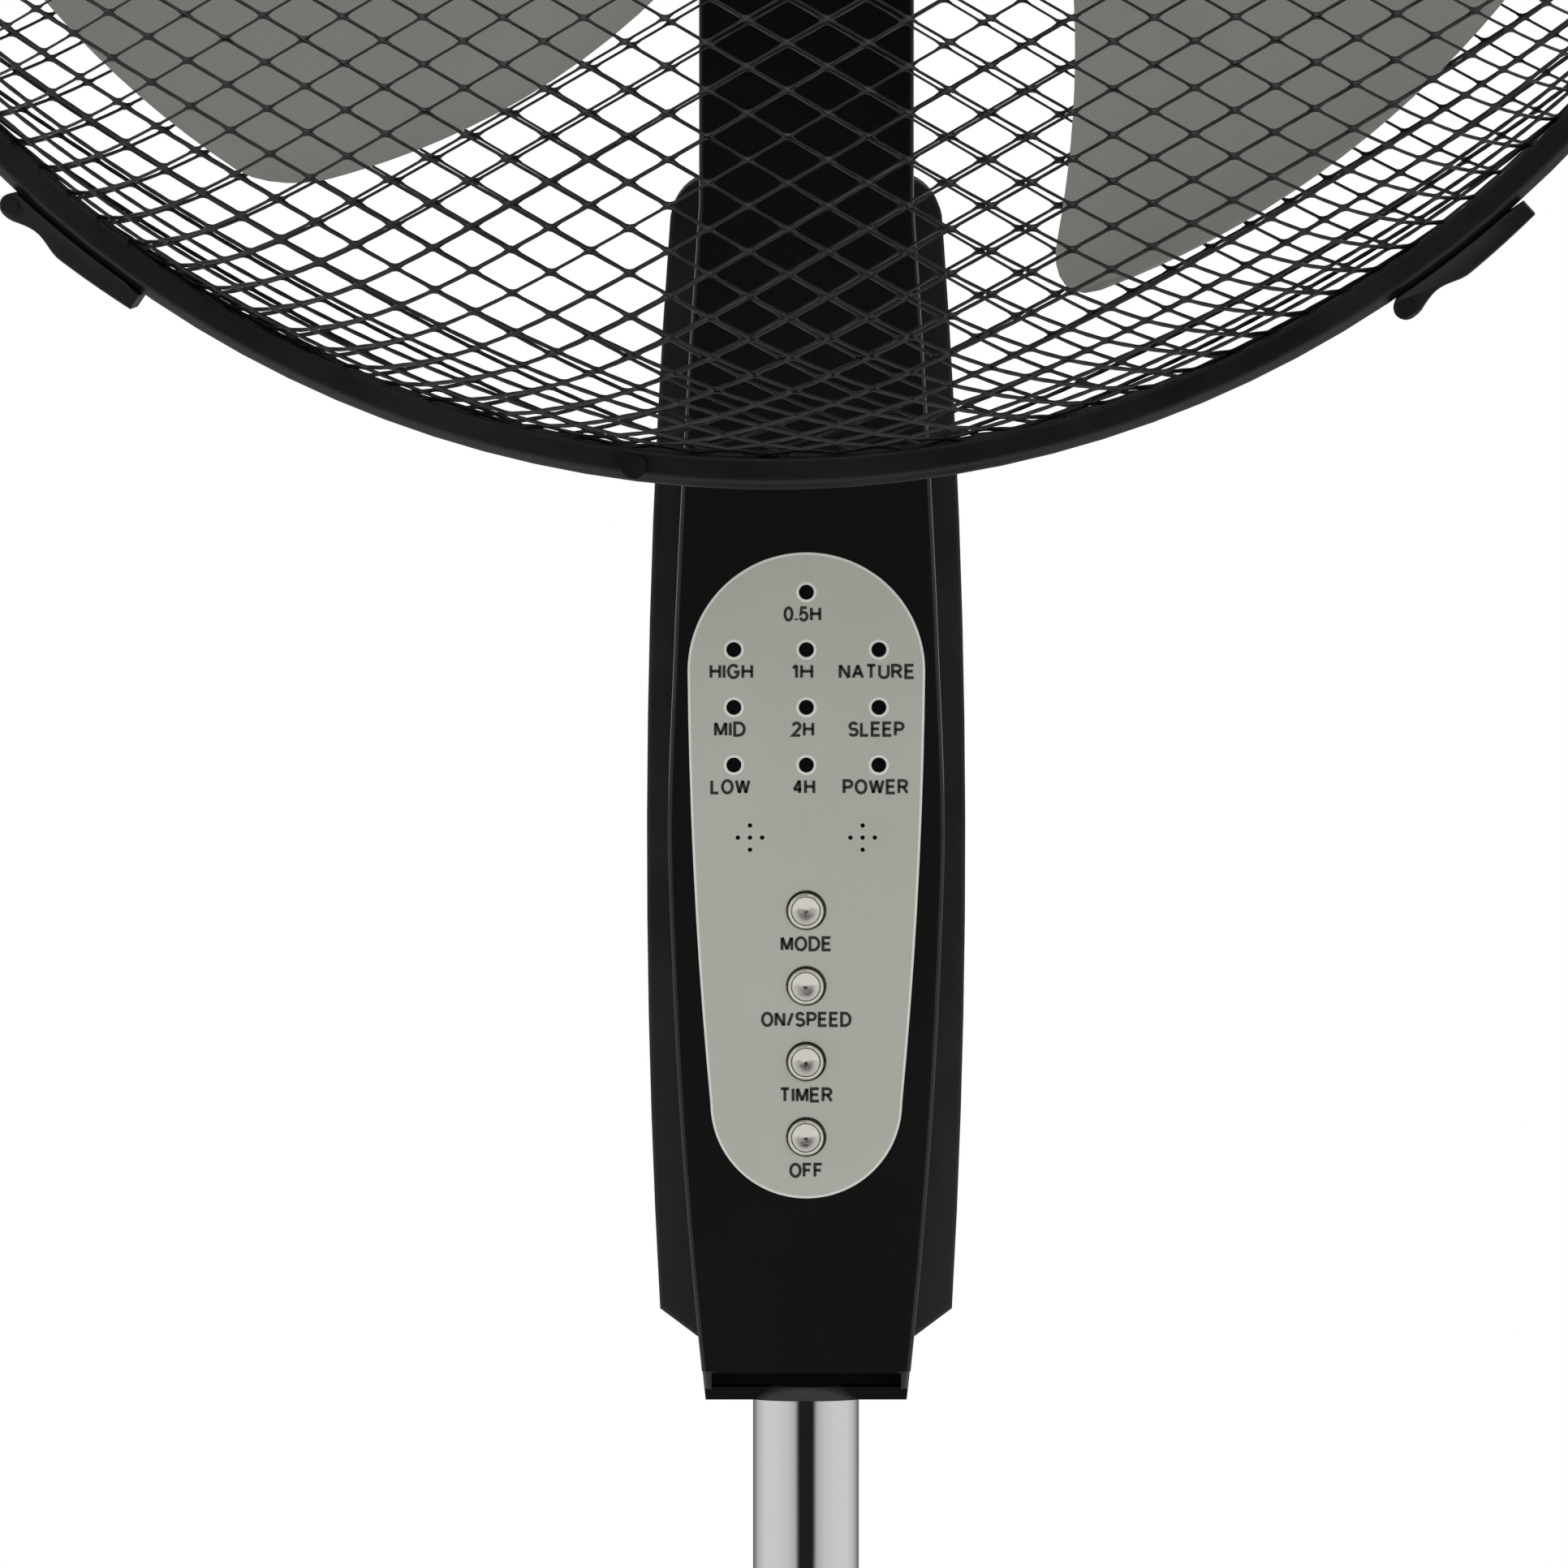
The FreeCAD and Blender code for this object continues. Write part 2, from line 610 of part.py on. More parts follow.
def make_shells():
    front_depth = s.front_face - s.parting
    rear = piece("rear_shell")
    outer = outline_sketch(rear, "XZ_Plane", rear_outline(as_size(0)), -s.box_rear)
    blank = pad(rear, outer, s.box_rear + s.parting)
    round_over(rear, blank, s.box_rear.value, s.rear_round)
    hollow = outline_sketch(rear, "XZ_Plane", rear_outline(s.box_wall), s.parting)
    pocket(rear, hollow, s.box_rear + s.parting - s.box_wall)
    # the front shell sits on a flange that closes the strip between the two outlines
    flange = outline_sketch(rear, "XZ_Plane", rear_outline(s.box_wall / 2), s.parting - s.flange_wall)
    pad(rear, flange, s.flange_wall)
    window = outline_sketch(rear, "XZ_Plane", front_outline(s.flange_reach, s.box_top + 1), s.parting)
    pocket(rear, window, s.flange_wall)
    pocket(rear, circle_sketch(rear, "XY_Plane", [((0, 0), s.pole_hole)], s.box_wall * 2), s.box_wall * 3)
    gland_level = s.box_waist / 3
    pocket(rear, circle_sketch(rear, "XZ_Plane", [((0, gland_level), s.swivel_radius)], -s.box_rear - 1),
           s.box_wall * 3, along_normal=True)
    in_box(rear)

    front = piece("front_shell")
    blank = pad(front, outline_sketch(front, "XZ_Plane", front_outline(as_size(0)), s.parting), front_depth)
    round_over(front, blank, -s.front_face.value, s.front_round)
    pocket(front, outline_sketch(front, "XZ_Plane", front_outline(s.box_wall), s.parting),
           front_depth - s.box_wall, along_normal=True)
    recess = outline_sketch(front, "XZ_Plane", panel_outline(-s.running_gap), s.front_face + 1)
    pocket(front, recess, s.panel_recess + 1)
    holes = [((0, level), s.button_hole) for level in button_levels()]
    holes += [(spot, s.led_hole) for spot in led_spots()]
    pocket(front, circle_sketch(front, "XZ_Plane", holes, s.front_face), s.box_wall * 2)
    # a solid bar behind the slot, so that the slot has a floor
    bar = box_outline((1 - s.front_low_width, s.box_wall / 2),
                      (s.front_low_width - 1, s.slot_top + s.box_wall))
    pad(front, outline_sketch(front, "XZ_Plane", bar, s.front_face - s.slot_depth - s.box_wall),
        s.slot_depth)
    slot = box_outline((-s.slot_half, s.slot_low), (s.slot_half, s.slot_top))
    pocket(front, outline_sketch(front, "XZ_Plane", slot, s.front_face + 1), s.slot_depth)
    lip = box_outline((-s.front_waist_width, as_size(-1)), (s.front_waist_width, s.slot_low))
    pocket(front, outline_sketch(front, "XZ_Plane", lip, s.front_face + 1), s.lip_back)
    pocket(front, circle_sketch(front, "XY_Plane", [((0, 0), s.pole_hole)], s.box_wall * 2), s.box_wall * 3)
    in_box(front)


def make_panel():
    plate = piece("panel_plate")
    back = s.front_face - s.panel_recess
    outer = outline_sketch(plate, "XZ_Plane", panel_outline(as_size(0)), back)
    blank = pad(plate, outer, s.panel_thickness)
    round_over(plate, blank, -(back + s.panel_thickness).value, s.free_gap)
    holes = [((0, level), s.button_hole) for level in button_levels()]
    holes += [(spot, s.led_hole) for spot in led_spots()]
    holes += [(spot, s.grille_hole) for spot in grille_spots()]
    pocket(plate, circle_sketch(plate, "XZ_Plane", holes, s.front_face + 1), s.panel_thickness * 2)
    in_box(plate)
    panel_face = back + s.panel_thickness
    for name, level in zip(("button_mode", "button_speed", "button_timer", "button_off"), button_levels()):
        make_button(name, level, panel_face)
    make_board(panel_face)


def make_button(name, level, panel_face):
    """A round dished cap with a flange behind the shell's wall."""
    flange_front = s.front_face - s.box_wall - s.free_gap
    flange_back = flange_front - s.box_wall / 2
    cap_front = panel_face + s.button_stand
    button = turned(name, [
        (-flange_back, 0),
        (-flange_back, s.button_flange),
        (-flange_front, s.button_flange),
        (-flange_front, s.button_radius),
        (s.free_gap * 1.5 - cap_front, s.button_radius),
        (-cap_front, s.button_radius - s.free_gap * 1.5),
        (s.free_gap - cap_front, 0),
    ], "YZ_Plane", "H_Axis")
    place(button, z=s.box_low + level)


def make_board(panel_face):
    board = piece("control_board")
    outline = box_outline((-s.board_half, s.board_low), (s.board_half, s.board_high))
    sketch = outline_sketch(board, "XZ_Plane", outline, s.board_face - s.board_thickness)
    pad(board, sketch, s.board_thickness)
    in_box(board)
    forward = FreeCAD.Vector(0, -1, 0)
    led_length = panel_face - s.board_face - s.running_gap * 3
    leds = []
    for index, (across, level) in enumerate(led_spots()):
        spot = (across, -s.board_face, s.box_low + level)
        leds.append(cylinder(f"Led{index}", s.led_radius, led_length, spot, forward))
    group("led_set", leds)
    switches = []
    for index, level in enumerate(button_levels()):
        housing = doc.addObject("Part::Box", f"SwitchHousing{index}")
        set_box(housing, s.switch_side, s.switch_height, s.switch_side)
        place(housing, -s.switch_side / 2, -s.board_face - s.switch_height,
              s.box_low + level - s.switch_side / 2)
        plunger = cylinder(f"Plunger{index}", s.plunger_radius, s.plunger_height,
                           (0, -s.board_face - s.switch_height, s.box_low + level), forward)
        fused = doc.addObject("Part::Fuse", f"Switch{index}")
        fused.Base = housing
        fused.Tool = plunger
        switches.append(fused)
    group("switch_set", switches)
    spot = (-s.grille_offset, -s.board_face, s.box_low + s.grille_level)
    keep(cylinder("Buzzer", s.buzzer_radius, s.buzzer_height, spot, forward), "buzzer")


def make_box_fittings():
    rearward = FreeCAD.Vector(0, 1, 0)
    screws = []
    for index, level in enumerate((s.panel_narrow_level, s.led_top)):
        for side in (-1, 1):
            spot = (s.column_half * side, s.box_rear, s.box_low + level)
            screws.append(screw(f"BoxScrew{2 * index + (side + 1) // 2}", s.screw_head, s.screw_shank,
                                s.screw_length, spot, rearward))
    group("box_screws", screws)
    gland_back = s.box_rear + s.box_wall * 2
    gland = turned("cord_gland", [
        (s.box_rear - s.box_wall * 2, s.link_pin),
        (s.box_rear - s.box_wall * 2, s.swivel_radius + 1),
        (s.box_rear - s.box_wall - s.running_gap, s.swivel_radius + 1),
        (s.box_rear - s.box_wall - s.running_gap, s.swivel_radius - s.running_gap),
        (s.box_rear + s.running_gap, s.swivel_radius - s.running_gap),
        (s.box_rear + s.running_gap, s.swivel_radius + s.link_pin),
        (gland_back, s.swivel_radius + 1),
        (gland_back + s.box_wall * 3, s.swivel_radius),
        (gland_back + s.box_wall * 3, s.link_pin),
    ], "YZ_Plane", "H_Axis")
    place(gland, z=s.box_low + s.box_waist / 3)


def make_neck():
    """Clamp socket on the pole's top, a web up the neck column and the fork that holds the tilt bolt."""
    neck = piece("neck_support")
    ring = circle_sketch(neck, "XY_Plane", [((0, 0), s.support_radius)], s.support_low)
    pad(neck, ring, s.support_height)
    web = box_outline((-s.support_radius, s.web_low), (s.support_radius, s.tilt_level + s.ear_radius))
    blank = pad(neck, outline_sketch(neck, "XZ_Plane", web, -s.web_half_depth), s.web_half_depth * 2)
    doc.recompute()
    top = (s.tilt_level + s.ear_radius).value
    corners = [f"Edge{number}" for number, edge in enumerate(blank.Shape.Edges, start=1)
               if abs(edge.BoundBox.ZMin - top) < 1e-4 and edge.BoundBox.XLength > s.support_radius.value]
    fillet = neck.newObject("PartDesign::Fillet", "NeckRound")
    fillet.Base = (blank, corners)
    fillet.Radius = (s.web_half_depth - 1).value
    fillet.setExpression("Radius", (s.web_half_depth - 1).text)
    bore = circle_sketch(neck, "XY_Plane", [((0, 0), s.inner_pole_radius)], s.inner_pole_depth)
    pocket(neck, bore, s.inner_pole_depth)
    gap = box_outline((-s.fork_half, s.fork_low), (s.fork_half, s.tilt_level + s.ear_radius * 2))
    pocket(neck, outline_sketch(neck, "XZ_Plane", gap, s.web_half_depth + 1), s.web_half_depth * 2 + 2)
    eye = circle_sketch(neck, "YZ_Plane", [((0, s.tilt_level), s.tilt_bolt_radius)], s.support_radius + 1)
    pocket(neck, eye, s.support_radius * 2 + 2)
    in_box(neck)
    bolt = turned("tilt_bolt", [
        (-s.support_radius - 4, 0),
        (-s.support_radius - 4, s.tilt_head),
        (-s.support_radius, s.tilt_head),
        (-s.support_radius, s.tilt_bolt_radius),
        (s.support_radius + 2, s.tilt_bolt_radius),
        (s.support_radius + 2, 0),
    ], "XZ_Plane", "H_Axis")
    place(bolt, z=s.box_low + s.tilt_level)


def make_bracket():
    """Knuckle on the tilt bolt, with an upright barrel for the swivel pin and a lug for the link rod."""
    bracket = piece("tilt_bracket")
    knuckle = circle_sketch(bracket, "YZ_Plane", [((0, 0), s.knuckle_radius)], -s.knuckle_half)
    pad(bracket, knuckle, s.knuckle_half * 2)
    barrel = circle_sketch(bracket, "XY_Plane", [((0, 0), s.barrel_radius)], s.tilt_bolt_radius * 2)
    pad(bracket, barrel, s.barrel_top - s.tilt_bolt_radius * 2)
    lug = box_outline((-s.lug_reach - s.lug_half, s.lug_low), (as_size(0), s.lug_top))
    pad(bracket, outline_sketch(bracket, "XZ_Plane", lug, -s.lug_half), s.lug_half * 2)
    pin = circle_sketch(bracket, "XY_Plane", [((-s.lug_reach, 0), s.link_pin)], s.lug_top - 1)
    pad(bracket, pin, s.link_thickness * 2)
    bore = circle_sketch(bracket, "XY_Plane", [((0, 0), s.swivel_radius + s.running_gap)], s.barrel_top)
    pocket(bracket, bore, s.barrel_top - s.swivel_low)
    eye = circle_sketch(bracket, "YZ_Plane", [((0, 0), s.tilt_bolt_radius + s.running_gap)],
                        s.knuckle_half + 1)
    pocket(bracket, eye, s.knuckle_half * 2 + 2)
    place(bracket, z=s.box_low + s.tilt_level)


# ---------------------------------------------------------------- motor and oscillation drive

def make_motor():
    turned_on_shaft("stator_core", [
        (-s.stator_front, s.stator_bore),
        (-s.stator_front, s.stator_radius),
        (-s.stator_rear, s.stator_radius),
        (-s.stator_rear, s.stator_bore),
    ])
    backward = FreeCAD.Vector(0, 1, 0)
    coils = []
    for index, start in enumerate((-s.stator_front - s.coil_length, -s.stator_rear)):
        ring = doc.addObject("Part::Cut", f"Coil{index}")
        ring.Base = cylinder(f"CoilOuter{index}", s.coil_outer, s.coil_length, (0, start, 0), backward)
        ring.Tool = cylinder(f"CoilInner{index}", s.coil_inner, s.coil_length, (0, start, 0), backward)
        coils.append(ring)
    in_head(group("stator_coils", coils))
    turned_on_shaft("rotor", [
        (-s.stator_front, s.shaft_radius),
        (-s.stator_front, s.rotor_radius),
        (-s.stator_rear, s.rotor_radius),
        (-s.stator_rear, s.shaft_radius),
    ])
    turned_on_shaft("motor_shaft", [
        (-s.shaft_front, 0),
        (-s.shaft_front, s.shaft_radius),
        (s.worm_front, s.shaft_radius),
        (s.worm_front, s.worm_radius),
        (s.worm_rear, s.worm_radius),
        (s.worm_rear, s.shaft_radius),
        (s.shaft_rear, s.shaft_radius),
        (s.shaft_rear, 0),
    ])
    inner = s.shield_radius - s.shield_wall
    turned_on_shaft("motor_front_shield", [
        (-s.nose_front, s.bearing_radius),
        (-s.nose_front, s.nose_radius),
        (-s.shield_front, s.nose_radius),
        (-s.shield_front, inner),
        (-s.shield_front + s.shield_wall, s.shield_radius),
        (-s.stator_front + s.shield_wall * 2, s.shield_radius),
        (-s.stator_front + s.shield_wall * 2, inner),
        (-s.shield_front + s.shield_wall, inner),
        (-s.shield_front + s.shield_wall, s.bearing_radius),
    ])
    turned_on_shaft("motor_rear_shield", [
        (s.shield_rear, s.bearing_radius),
        (s.shield_rear, inner),
        (s.shield_rear - s.shield_wall, s.shield_radius),
        (-s.stator_rear - s.shield_wall * 2, s.shield_radius),
        (-s.stator_rear - s.shield_wall * 2, inner),
        (s.shield_rear - s.shield_wall, inner),
        (s.shield_rear - s.shield_wall, s.bearing_radius),
    ])
    bearings = []
    for index, start in enumerate((-s.nose_front, s.shield_rear - s.bearing_length)):
        ring = doc.addObject("Part::Cut", f"Bearing{index}")
        ring.Base = cylinder(f"BearingOuter{index}", s.bearing_radius, s.bearing_length,
                             (0, start, 0), backward)
        ring.Tool = cylinder(f"BearingInner{index}", s.shaft_radius + s.running_gap, s.bearing_length,
                             (0, start, 0), backward)
        bearings.append(ring)
    in_head(group("shaft_bearings", bearings))
    capacitor = doc.addObject("Part::Box", "Capacitor")
    set_box(capacitor, s.cap_width, s.cap_length, s.cap_height)
    keep(capacitor, "motor_capacitor")
    turn = math.radians(s.head_yaw.value)
    side, back = -s.cap_side - s.cap_width, s.cap_front
    across = side * math.cos(turn) - back * math.sin(turn)
    along = side * math.sin(turn) + back * math.cos(turn)
    place(capacitor, across, along, s.hub_level - s.cap_low)
    turn_about_z(capacitor, s.head_yaw.text)


def make_motor_housing():
    """A deep plastic cup over the motor and gearbox, open below for the swivel and above for the knob."""
    inner = s.housing_radius - s.housing_wall
    bend_wall = s.housing_wall * BEND_SHARE
    housing = turned("motor_housing", [
        (-s.housing_front, inner),
        (-s.housing_front, s.housing_radius),
        (s.housing_shoulder, s.housing_radius),
        (s.housing_bend_level, s.housing_bend_radius, "via"),
        (s.housing_tail, 0),
        (s.housing_tail - s.housing_wall, 0),
        (s.housing_bend_level - bend_wall, s.housing_bend_radius - bend_wall, "via"),
        (s.housing_shoulder, inner),
    ], "YZ_Plane", "H_Axis")
    below = box_outline((-s.housing_radius, -s.housing_radius - 1), (s.housing_radius, -s.housing_floor))
    pocket(housing, outline_sketch(housing, "XZ_Plane", below, s.housing_opening),
           s.housing_tail + s.housing_opening)
    hole = circle_sketch(housing, "XY_Plane", [((s.wheel_side, s.wheel_back), s.swivel_radius)],
                         s.housing_radius)
    pocket(housing, hole, s.housing_radius / 2)
    in_head(housing)
    swivel = turned("swivel_pin", [
        (0, s.swivel_low + s.free_gap),
        (s.swivel_radius, s.swivel_low + s.free_gap),
        (s.swivel_radius, s.barrel_top + s.free_gap),
        (s.barrel_radius, s.barrel_top + s.free_gap),
        (s.barrel_radius, s.swivel_high),
        (0, s.swivel_high),
    ])
    place(swivel, z=s.box_low + s.tilt_level)


def make_gearbox():
    gearbox = piece("gearbox_housing")
    outer = box_outline((-s.gearbox_left, -s.gearbox_low), (s.gearbox_right, s.gearbox_high))
    length = s.gearbox_rear - s.gearbox_front
    pad(gearbox, outline_sketch(gearbox, "XZ_Plane", outer, -s.gearbox_rear), length)
    wall = s.gearbox_wall
    inner = box_outline((wall - s.gearbox_left, wall - s.gearbox_low),
                        (s.gearbox_right - wall, s.gearbox_high - wall))
    pocket(gearbox, outline_sketch(gearbox, "XZ_Plane", inner, wall - s.gearbox_rear),
           length - wall * 2, along_normal=True)
    shaft_hole = circle_sketch(gearbox, "XZ_Plane", [((0, 0), s.worm_radius + s.free_gap)],
                               -s.gearbox_front)
    pocket(gearbox, shaft_hole, wall)
    crank_hole = circle_sketch(gearbox, "XY_Plane", [((0, s.crank_back), s.crank_shaft + s.running_gap)],
                               wall - s.gearbox_low)
    pocket(gearbox, crank_hole, wall * 2)
    spindle_spot = (s.wheel_side, s.wheel_back)
    spindle_hole = circle_sketch(gearbox, "XY_Plane", [(spindle_spot, s.spindle_radius + s.running_gap)],
                                 s.gearbox_high)
    pocket(gearbox, spindle_hole, wall * 2)
    in_head(gearbox)

    wheel = piece("worm_wheel")
    half = s.wheel_thickness / 2
    pad(wheel, circle_sketch(wheel, "XY_Plane", [(spindle_spot, s.wheel_radius)], -half), s.wheel_thickness)
    pad(wheel, circle_sketch(wheel, "XY_Plane", [(spindle_spot, s.pinion_radius)], -s.pinion_low),
        s.pinion_low - half)
    bore = circle_sketch(wheel, "XY_Plane", [(spindle_spot, s.spindle_radius + s.running_gap)], half)
    pocket(wheel, bore, s.pinion_low + half)
    in_head(wheel)

    knob = piece("clutch_knob")
    pad(knob, circle_sketch(knob, "XY_Plane", [(spindle_spot, s.spindle_radius)], -s.pinion_low - 2),
        s.pinion_low + s.knob_low + 3)
    pad(knob, circle_sketch(knob, "XY_Plane", [(spindle_spot, s.knob_radius)], s.knob_low), s.knob_height)
    in_head(knob)

    crank = piece("crank_gear")
    axis_spot = (0, s.crank_back)
    pad(crank, circle_sketch(crank, "XY_Plane", [(axis_spot, s.crank_shaft)], -s.crank_top - 1),
        s.crank_top + 1 - s.gear_low)
    gear = circle_sketch(crank, "XY_Plane", [(axis_spot, s.gear_radius)], -s.gear_low)
    pad(crank, gear, s.gear_thickness)
    disc = circle_sketch(crank, "XY_Plane", [(axis_spot, s.crank_disc)], -s.crank_top - s.crank_thickness)
    pad(crank, disc, s.crank_thickness)
    pin = circle_sketch(crank, "XY_Plane", [((0, s.crank_back + s.crank_throw), s.link_pin)],
                        -s.crank_top - s.crank_thickness - 1)
    pad(crank, pin, s.crank_thickness)
    in_head(crank)


def make_link():
    """Flat rod from the bracket's lug pin towards the crank; it rides just below the crank's pin."""
    link = piece("link_rod")
    bar = box_outline((-s.link_half, as_size(0)), (s.link_half, s.link_length))
    pad(link, outline_sketch(link, "XY_Plane", bar), s.link_thickness)
    ends = [(0, 0), (0, s.link_length)]
    for end in ends:
        pad(link, circle_sketch(link, "XY_Plane", [(end, s.link_eye)], 0), s.link_thickness)
    eyes = [(end, s.link_pin + s.running_gap) for end in ends]
    pocket(link, circle_sketch(link, "XY_Plane", eyes, s.link_thickness), s.link_thickness)
    place(link, -s.lug_reach, 0, s.box_low + s.tilt_level + s.lug_top + s.running_gap)
    rest = math.degrees(math.atan2(s.lug_reach.value, s.crank_back.value + s.crank_throw.value))
    turn_about_z(link, f"{s.head_yaw.text} - {round(rest, 3)}")


# ---------------------------------------------------------------- guards

def diamond_openings(name, behind, depth):
    """The openings of the expanded mesh, as one tool, on a grid of diamonds twice as wide as high."""
    half_long = (s.mesh_long.value - s.mesh_strand.value) / 2
    half_short = (s.mesh_short.value - s.mesh_strand.value * STRAND_SHARE) / 2
    reach = s.mesh_clear.value
    prisms = []
    rows = int(reach / (s.mesh_short.value / 2)) + 1
    columns = int(reach / s.mesh_long.value) + 1
    for row in range(-rows, rows + 1):
        for column in range(-columns, columns + 1):
            x = (column + (row % 2) / 2) * s.mesh_long.value
            z = row * s.mesh_short.value / 2
            far = math.hypot(abs(x) + half_long * OPENING_REACH, abs(z) + half_short * OPENING_REACH)
            near = math.hypot(max(abs(x) - half_long, 0), max(abs(z) - half_short, 0))
            if far > reach or near < s.rear_seat_radius.value:
                continue
            corners = [(x - half_long, z), (x, z + half_short), (x + half_long, z), (x, z - half_short)]
            wire = Part.makePolygon([FreeCAD.Vector(a, behind.value, b) for a, b in corners + corners[:1]])
            prisms.append(Part.Face(wire).extrude(FreeCAD.Vector(0, -depth.value, 0)))
    tool = doc.addObject("Part::Feature", name)
    tool.Shape = Part.makeCompound(prisms)
    return tool


def make_guard(name, outline, behind, depth):
    """A drawn bowl of sheet with the mesh's openings cut through it along the shaft."""
    skin = doc.addObject("PartDesign::Body", f"{name}_skin")
    sketch = outline_sketch(skin, "YZ_Plane", outline)
    feature = skin.newObject("PartDesign::Revolution", f"{name}Turn")
    feature.Profile = sketch
    feature.ReferenceAxis = (sketch, ["H_Axis"])
    feature.Angle = 360
    doc.recompute()
    mesh = doc.addObject("Part::Cut", name)
    mesh.Base = skin
    mesh.Tool = diamond_openings(f"{name}_openings", behind, depth)
    in_head(keep(mesh, name))


def make_guards():
    skin = s.guard_skin
    edge = s.rim_radius - s.rim_width
    make_guard("front_guard", [
        (-s.front_nose, as_size(0)),
        (-s.front_nose, s.badge_radius),
        (-s.front_dome, s.front_dome_radius),
        (-s.front_shoulder, s.front_shoulder_radius),
        (-s.rim_plane - s.free_gap, edge),
        (-s.rim_plane - s.free_gap, edge - skin),
        (skin - s.front_shoulder, s.front_shoulder_radius - skin),
        (skin - s.front_dome, s.front_dome_radius - skin),
        (skin - s.front_nose, s.badge_radius),
        (skin - s.front_nose, as_size(0)),
    ], -s.rim_plane, s.front_nose - s.rim_plane + 1)
    make_guard("rear_guard", [
        (-s.rear_seat, s.rear_bore),
        (-s.rear_seat, s.rear_seat_radius),
        (-s.rear_dome, s.rear_dome_radius),
        (-s.rear_shoulder, s.rear_shoulder_radius),
        (s.free_gap - s.rim_plane, edge),
        (s.free_gap - s.rim_plane, edge - skin),
        (-s.rear_shoulder - skin, s.rear_shoulder_radius - skin),
        (-s.rear_dome - skin, s.rear_dome_radius - skin),
        (-s.rear_seat - skin, s.rear_seat_radius),
        (-s.rear_seat - skin, s.rear_bore),
    ], 1 - s.rear_seat, s.rim_plane - s.rear_seat + 1)
    rounding = s.rim_width / 4
    for name, low in (("front_rim", -s.rim_plane - s.rim_depth), ("rear_rim", s.free_gap - s.rim_plane)):
        high = low + s.rim_depth - s.free_gap
        turned_on_shaft(name, [
            (low, edge),
            (low, s.rim_radius - rounding),
            (low + rounding, s.rim_radius),
            (high - rounding, s.rim_radius),
            (high, s.rim_radius - rounding),
            (high, edge),
        ])
    turned_on_shaft("guard_nut", [
        (-s.nose_front, s.nose_radius),
        (-s.nose_front, s.nut_radius - s.bell_wall),
        (s.bell_wall - s.nose_front, s.nut_radius),
        (-s.rear_seat - skin - s.running_gap, s.nut_radius),
        (-s.rear_seat - skin - s.running_gap, s.nose_radius),
    ])
    turned_on_shaft("guard_badge", [
        (-s.front_nose - s.badge_thickness, 0),
        (-s.front_nose - s.badge_thickness, s.badge_radius - s.badge_thickness),
        (-s.front_nose - s.badge_thickness / 2, s.badge_radius),
        (-s.front_nose, s.badge_radius),
        (-s.front_nose, 0),
    ])
    across, up = on_circle(s.rim_radius - s.rim_width / 2, -s.rim_screw_angle.value)
    rim_screw = screw("RimScrew", s.rim_screw_head, s.rim_screw_radius, s.rim_screw_length,
                      (across, -s.rim_plane - s.rim_depth, up), FreeCAD.Vector(0, -1, 0))
    in_head(keep(rim_screw, "rim_screw"))


def clip_angles():
    """Angles of the clips' middles from straight down: a wide bottom pair, the rest spaced evenly."""
    first = s.clip_first.value
    step = (360 - 2 * first) / (CLIP_COUNT - 1)
    return [first + step * index for index in range(CLIP_COUNT)]


def make_clips():
    """Levers that lie along the rim's outside. Each turns on a pin at its lower right end."""
    pins = []
    for index, middle in enumerate(clip_angles()):
        half_turn = math.degrees(s.clip_length.value / 2 / s.rim_radius.value)
        start = middle - half_turn
        pin_across, pin_up = on_circle(s.rim_radius + s.clip_thickness / 2, start)
        pin_spot = (pin_across, -s.rim_plane - s.clip_depth / 2, pin_up)
        pins.append(cylinder(f"ClipPin{index}", s.clip_pin, s.clip_depth, pin_spot,
                             FreeCAD.Vector(0, 1, 0)))
        clip = piece(f"guard_clip_{index + 1}")
        inside = s.rim_radius + s.free_gap
        outside = s.rim_radius + s.clip_thickness
        ends = (start, start + half_turn, start + 2 * half_turn)
        near = [on_circle(inside, degrees) for degrees in ends]
        far = [on_circle(outside, degrees) for degrees in ends]
        outline = [near[0], (*near[1], "via"), near[2], far[2], (*far[1], "via"), far[0]]
        lever_low = s.rim_plane - s.clip_depth / 2 + 2
        pad(clip, outline_sketch(clip, "XZ_Plane", outline, lever_low), s.clip_depth - 4)
        eye = circle_sketch(clip, "XZ_Plane", [((pin_across, pin_up), s.clip_pin + s.running_gap)],
                            s.rim_plane + s.clip_depth)
        pocket(clip, eye, s.clip_depth * 2)
        in_head(clip)
    in_head(group("clip_pins", pins))


# ---------------------------------------------------------------- blades

def blade_point(across, outward):
    """A point of the blade: across runs from the leading to the trailing edge, outward from root to tip."""
    root, tip = s.hub_radius.value - 2, s.tip_radius.value
    radius = tip - (tip - root) * (1 - outward) ** ROW_CROWDING
    inward = 1 - radius / tip
    sweep = s.blade_sweep.value * inward
    lead = s.blade_lead.value + sweep
    trail = lead + s.blade_span.value + s.trail_sweep.value * inward
    lead += corner_angle(tip - radius, s.lead_round.value, radius)
    trail -= corner_angle(tip - radius, s.trail_round.value, radius)
    angle = math.radians(lead + (trail - lead) * across)
    rise = s.blade_front.value - s.blade_rear.value
    slope = across * (1 - CAMBER * across) / (1 - CAMBER)
    depth = s.blade_rear.value + rise * (slope - BELLY * math.sin(math.pi * across))
    return FreeCAD.Vector(radius * math.sin(angle), -depth, -radius * math.cos(angle))


def corner_angle(from_tip, rounding, radius):
    """Degrees that a rounded tip corner takes off an edge."""
    if from_tip >= rounding:
        return 0
    reach = (rounding - from_tip) / rounding
    return math.degrees(rounding * (1 - math.sqrt(1 - reach * reach)) / radius)


